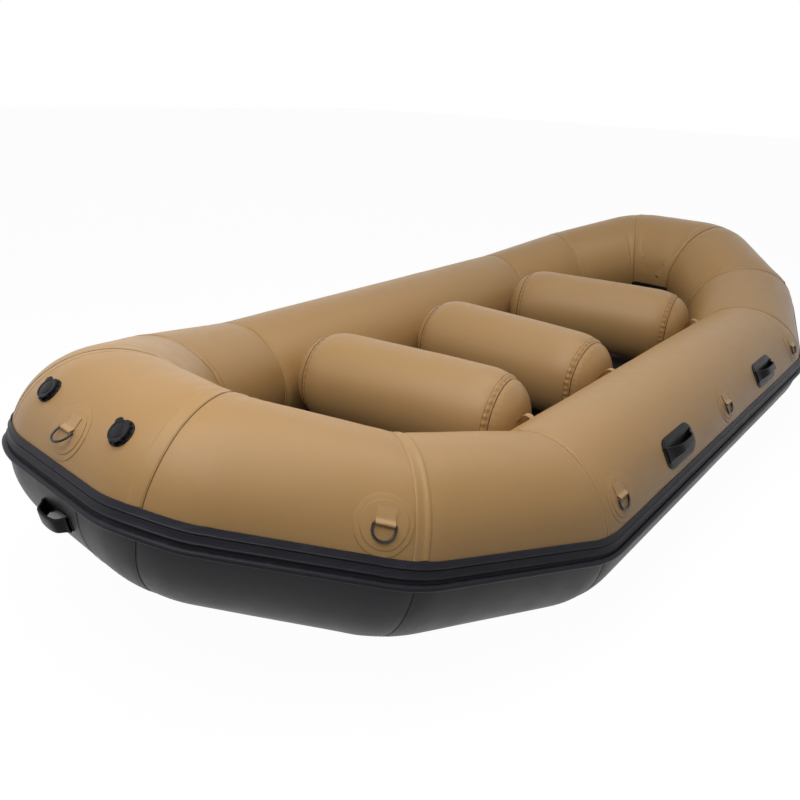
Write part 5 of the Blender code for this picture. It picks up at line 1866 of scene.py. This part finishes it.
    @staticmethod
    def blow_up(thing: Thing, place: Matrix, rims: Point2, frames: int = 16,
                cap: float = 0.004) -> None:
        """Fill the fabric with air by a short cloth run, held at its two seams and its ends.

        Args:
            thing: the fabric, which is moved.
            place: the thwart's middle.
            rims: the places of its two seams.
            frames: how many frames the cloth runs.
            cap: the furthest that a point may move.
        """
        rest = [v.co.copy() for v in thing.data.vertices]
        back = place.inverted()
        held = thing.vertex_groups.new(name="held")
        for i, point in enumerate(rest):
            y = (back @ point).y
            gap = min(abs(y - rim) for rim in rims)
            beyond = y < rims[0] or y > rims[1]
            held.add([i], 1.0 if beyond else 1 - ease(0.004, 0.030, gap), "REPLACE")
        cloth = thing.modifiers.new("air", "CLOTH")
        settings = cloth.settings
        settings.vertex_group_mass = held.name
        settings.use_pressure = True
        settings.uniform_pressure_force = 4.0
        settings.effector_weights.gravity = 0
        settings.tension_stiffness = settings.compression_stiffness = 28
        settings.bending_stiffness = 0.6
        settings.mass = 0.4
        cloth.point_cache.frame_start, cloth.point_cache.frame_end = 1, frames
        scene = bpy.context.scene
        for step in range(1, frames + 1):
            scene.frame_set(step)
        depsgraph = bpy.context.evaluated_depsgraph_get()
        blown = [v.co.copy() for v in thing.evaluated_get(depsgraph).data.vertices]
        thing.modifiers.clear()
        for vert, before, after in zip(thing.data.vertices, rest, blown):
            move = after - before
            if move.length > cap:
                move *= cap / move.length
            vert.co = before + move
        scene.frame_set(1)

    def build_straps(self, place: Matrix, low: float, high: float) -> None:
        """A thin webbing strap at each end, arched over the nip between thwart and tube.

        Args:
            place: the thwart's middle.
            low: the starboard end.
            high: the port end.
        """
        fore, up = self.strap_foot
        depth = self.dome * (1 - (math.hypot(fore, up) / self.radius) ** self.power) ** (1 / self.power)
        reach_out = self.hull.side[3] + 0.0015
        paths = []
        for side, reach, turn, arch in ((-1, -low, 156 * DEGREE, 0.008), (1, high, 142 * DEGREE, 0.018)):
            start = place @ Vector((side * fore, side * (reach - self.dome + depth - 0.001), up))
            stop = Vector((start.x, side * (self.hull.side[1] + reach_out * math.cos(turn)),
                           self.hull.axis_height + reach_out * math.sin(turn)))
            path = []
            for share in spread(0, 1, 16):
                point = start.lerp(stop, share) + Vector((0, 0, arch * math.sin(math.pi * share)))
                slope = (stop - start) + Vector((0, 0, arch * math.pi * math.cos(math.pi * share)))
                path.append((point, Vector((side, 0, 0)).cross(slope).normalized()))
            paths.append(path)
        flat = rounded_box(1, 1, 0.3, 3)
        settle(self.sweeps.sweep(f"{self.name}_tie_straps", paths, flat, self.strap, WEBBING), WEBBING)


@dataclass
class Floor:
    """The inflated floor: long round ribs between stitched valleys, and a rolled edge."""

    hull: Hull
    rows: RowTree
    roll: float = 0.040
    channels: int = 5
    rib_steps: int = 12
    roundness: float = 0.55
    valley: float = 0.012
    seat: float = 217 * DEGREE
    nose: float = 55 * DEGREE
    nose_place: float = 0.088
    wall: float = 0.0012

    def edge_at(self, along: float) -> Vector:
        """Middle of the rolled edge where the floor lies against the tube."""
        return self.hull.plain(along, self.seat, 0.0003 + self.roll)

    def stations(self) -> list[tuple[float, float, float, float]]:
        """The floor's sections from the bow end to the stern end.

        Returns:
            (x, half width, height, share of thickness) of each.
        """
        seams = self.hull.seams
        first = self.edge_at(seams[0] - self.nose_place)
        keys = [first, *(self.edge_at(seam) for seam in seams[:3])]
        bow = []
        for lean in spread(self.nose, 0, 5):
            s = math.cos(lean)
            bow.append((first.x + self.roll * math.sin(lean), first.y - self.roll * (1 - s), first.z, s))
        for a, b in zip(keys, keys[1:]):
            steps = max(2, round((a.x - b.x) / 0.035))
            bow += [(*a.lerp(b, k / steps), 1.0) for k in range(1, steps + 1)]
        half = keys[-1].x
        middle = [(x, keys[-1].y, keys[-1].z, 1.0) for x in spread(half, -half, round(2 * half / 0.04))[1:-1]]
        stern = [(-x, y, z, s) for x, y, z, s in reversed(bow)]
        return bow + middle + stern

    def section(self, x: float, half: float, height: float, share: float) -> list[Vector]:
        """Points of a section: ribs on top, rolled edges, ribs below.

        Args:
            x: its place along the boat.
            half: half its width between the rolls' middles.
            height: the height of its middle.
            share: its share of the full thickness.

        Returns:
            The points in order.
        """
        roll = self.roll * share
        top = []
        count = self.channels * self.rib_steps
        for k in range(count + 1):
            across = 1 - 2 * k / count
            phase = (k % self.rib_steps) / self.rib_steps * math.pi
            arch = math.sin(phase) ** self.roundness if 0 < k < count else 1.0
            edge = ease(0.0, 1.0, min(1.0, (1 - abs(across)) * self.channels))
            rib = 1 - (1 - arch) * self.valley / self.roll * (1 if edge > 0.3 else edge / 0.3)
            wobble = noise.noise(Vector((x * 14, across * 9, 0.3))) * 0.0012 * (1 - arch)
            top.append((half * across, roll * rib + wobble))
        side = [(half + roll * math.sin(a), roll * math.cos(a)) for a in spread(0, math.pi, 14)[1:14]]
        outline = side[::-1] + top + [(-y, z) for y, z in side] + [(y, -z) for y, z in top[::-1]]
        return [Vector((x, y, height + z)) for y, z in outline]

    def build(self) -> None:
        """The floor's fabric and its valve."""
        valve = PlugValve(self.rows, "floor")
        thing = walled(lofted("floor_fabric", [self.section(*s) for s in self.stations()]), self.wall)
        pierced(thing, [valve.hole()])
        settle(thing, DARK_ROUND, stands_for=["inflatable_floor"], sharp=60)
        valve.build()


@dataclass(frozen=True)
class Lamp:
    """A soft rectangular lamp aimed at a point."""

    name: str
    place: Point3
    aim: Point3
    size: Point2
    power: float

    def build(self) -> None:
        """Hang the lamp and turn it to its aim."""
        data = bpy.data.lights.new(self.name, "AREA")
        data.shape, data.size, data.size_y, data.energy = "RECTANGLE", *self.size, self.power
        thing = as_object(self.name, data)
        thing.location = self.place
        thing.rotation_euler = (Vector(self.aim) - Vector(self.place)).to_track_quat("-Z", "Y").to_euler()


LAMPS = (
    Lamp("over_bow", (2.3, 0.3, 2.8), (0.9, 0, 0.3), (2.6, 2.0), 55),
    Lamp("over_middle", (0.2, 0.2, 3.2), (0.2, 0, 0.2), (3.0, 2.0), 43),
    Lamp("over_stern", (-2.0, 0, 3.0), (-1.2, 0, 0.3), (2.4, 2.0), 5),
    Lamp("bow_starboard", (3.6, -2.4, 2.2), (0.9, -0.2, 0.3), (2.0, 1.6), 5),
    Lamp("port_low", (0.8, 4.2, 1.2), (0.3, 0.5, 0.3), (3.0, 1.2), 2),
)


@dataclass
class Studio:
    """Plain pale floor, soft lamps, world and the camera at the photograph's angle."""

    hull: Hull
    eye: Vector = field(default_factory=lambda: Vector((2.6339, 1.5600, 1.1729)))
    yaw: float = 3.8355
    pitch: float = -0.4182
    roll: float = 0.0393
    sensor: float = 36
    lens: float = 712.84 / 800 * 36
    ambient: float = 0.07
    ground_half: float = 30
    ground_tone: float = 0.45
    ground_glow: float = 1.07
    glow_share: float = 0.91

    def build_camera(self) -> None:
        """The camera, as fitted to the photograph."""
        data = bpy.data.cameras.new("camera")
        data.lens, data.sensor_width, data.clip_end = self.lens, self.sensor, 200
        camera = as_object("camera", data)
        level = math.cos(self.pitch)
        forward = Vector((math.cos(self.yaw) * level, math.sin(self.yaw) * level, math.sin(self.pitch)))
        right = forward.cross(Vector((0, 0, 1))).normalized()
        up = right.cross(forward)
        c, s = math.cos(self.roll), math.sin(self.roll)
        right, up = right * c + up * s, up * c - right * s
        camera.matrix_world = placed(right, up, -forward, self.eye + Vector((0, 0, self.hull.axis_height)))
        bpy.context.scene.camera = camera

    @staticmethod
    def seen(nodes: Nodes) -> Value:
        """A mask of the rays that show the background: the camera's own, mirrored and passed on.

        Args:
            nodes: the nodes of the ground or the world.

        Returns:
            1 for these rays and 0 for those that only light the object.
        """
        ray = nodes.make("ShaderNodeLightPath")
        camera, glossy, passed = (nodes.value(ray.outputs[f"Is {kind} Ray"])
                                  for kind in ("Camera", "Glossy", "Transmission"))
        return camera + glossy + passed

    def build_ground(self) -> None:
        """A pale floor that shows as white to the camera and keeps a light shadow."""
        far = self.ground_half
        corners = [(-far, -far, 0), (far, -far, 0), (far, far, 0), (-far, far, 0)]
        mesh = new_mesh("ground", corners, [], [(0, 1, 2, 3)])
        ground = as_object("ground", mesh)
        material = bpy.data.materials.new("pale_floor")
        material.use_nodes = True
        nodes = Nodes(material.node_tree)
        material.node_tree.nodes.remove(material.node_tree.nodes["Principled BSDF"])
        matt = nodes.make("ShaderNodeBsdfDiffuse", None, {"Color": (*(self.ground_tone,) * 3, 1)})
        glow = nodes.make("ShaderNodeEmission", None, {"Color": (1, 1, 1, 1), "Strength": self.ground_glow})
        seen = self.seen(nodes) * self.glow_share
        mix = nodes.make("ShaderNodeMixShader", None, {0: seen, 1: matt.outputs[0], 2: glow.outputs[0]})
        output = next(n for n in material.node_tree.nodes if n.type == "OUTPUT_MATERIAL")
        material.node_tree.links.new(mix.outputs[0], output.inputs["Surface"])
        mesh.materials.append(material)

    def build_world(self) -> None:
        """An even world that shows as white behind the object and lights it softly."""
        world = bpy.context.scene.world or bpy.data.worlds.new("world")
        bpy.context.scene.world = world
        world.use_nodes = True
        nodes = Nodes(world.node_tree)
        background = next(n for n in world.node_tree.nodes if n.type == "BACKGROUND")
        background.inputs["Color"].default_value = (1, 1, 1, 1)
        strength = self.seen(nodes) * (1 - self.ambient) + self.ambient
        world.node_tree.links.new(strength.socket, background.inputs["Strength"])

    def build(self) -> None:
        """Camera, ground, world and lamps."""
        self.build_camera()
        self.build_ground()
        self.build_world()
        for lamp in LAMPS:
            lamp.build()
        bpy.context.scene.view_settings.view_transform = "Standard"


@dataclass
class Fittings:
    """Twelve D-ring sets, four carry handles and two tow handles."""

    hull: Hull
    sweeps: SweepTree
    rows: RowTree
    quarter_ring: float = 0.086
    side_ring: float = 0.104
    handle: float = 0.448
    bow_ring_lift: float = 25.0
    ring_lift: float = -5.0
    tow_angle: float = -8.5 * DEGREE

    def build(self) -> None:
        """A ring set at each end and five down each side, then the handles."""
        seams, half = self.hull.seams, self.hull.length / 2
        sides = {"bow_quarter": seams[1] - self.quarter_ring, "side_bow": seams[2] + self.side_ring,
                 "side_middle": half / 2, "side_stern": seams[3] - self.side_ring,
                 "stern_quarter": seams[4] + self.quarter_ring}
        places = {"bow_d_ring": (0.0, self.bow_ring_lift), "stern_d_ring": (half, self.ring_lift)}
        for name, along in sides.items():
            places[f"port_{name}_d_ring"] = (along, self.ring_lift)
            places[f"starboard_{name}_d_ring"] = (self.hull.length - along, self.ring_lift)
        for name, (along, lift) in places.items():
            RingSet(self.hull, self.sweeps, self.rows, name, along, lift).build()
        for end, along in (("bow", half / 2 - self.handle), ("stern", half / 2 + self.handle)):
            for side, here in (("port", along), ("starboard", self.hull.length - along)):
                angle = self.hull.row_angle(here)
                Handle(self.hull, f"{side}_{end}_carry_handle", here, angle, GripStyle.BRIDGE).build()
        for name, here in (("bow_tow_handle", 0.0), ("stern_tow_handle", half)):
            Handle(self.hull, name, here, self.tow_angle, GripStyle.STRAP).build()


def main() -> None:
    """Build the raft's classes in order, then the studio."""
    logging.basicConfig(level=logging.INFO, format="%(name)s %(message)s")
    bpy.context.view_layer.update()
    hull = Hull()
    sweeps, rows = SweepTree(), RowTree()
    valves = {end: [ChamberValve(rows, f"{end}_{side}") for side in ("port", "starboard")]
              for end in ("bow", "stern")}
    TubeFabric(hull, sweeps).build({end: [v.hole() for v in pair] for end, pair in valves.items()})
    RubStrake(hull, sweeps).build()
    Floor(hull, rows).build()
    for name, x, rise, turn in (("bow_thwart", 0.703, 0.084, 10), ("middle_thwart", 0.0, 0.066, 0),
                                ("stern_thwart", -0.850, 0.080, 10)):
        Thwart(hull, sweeps, rows, name, x, rise, turn * DEGREE).build()
    Fittings(hull, sweeps, rows).build()
    for pair in valves.values():
        for valve in pair:
            valve.build()
    Studio(hull).build()


if __name__ == "__main__":
    main()
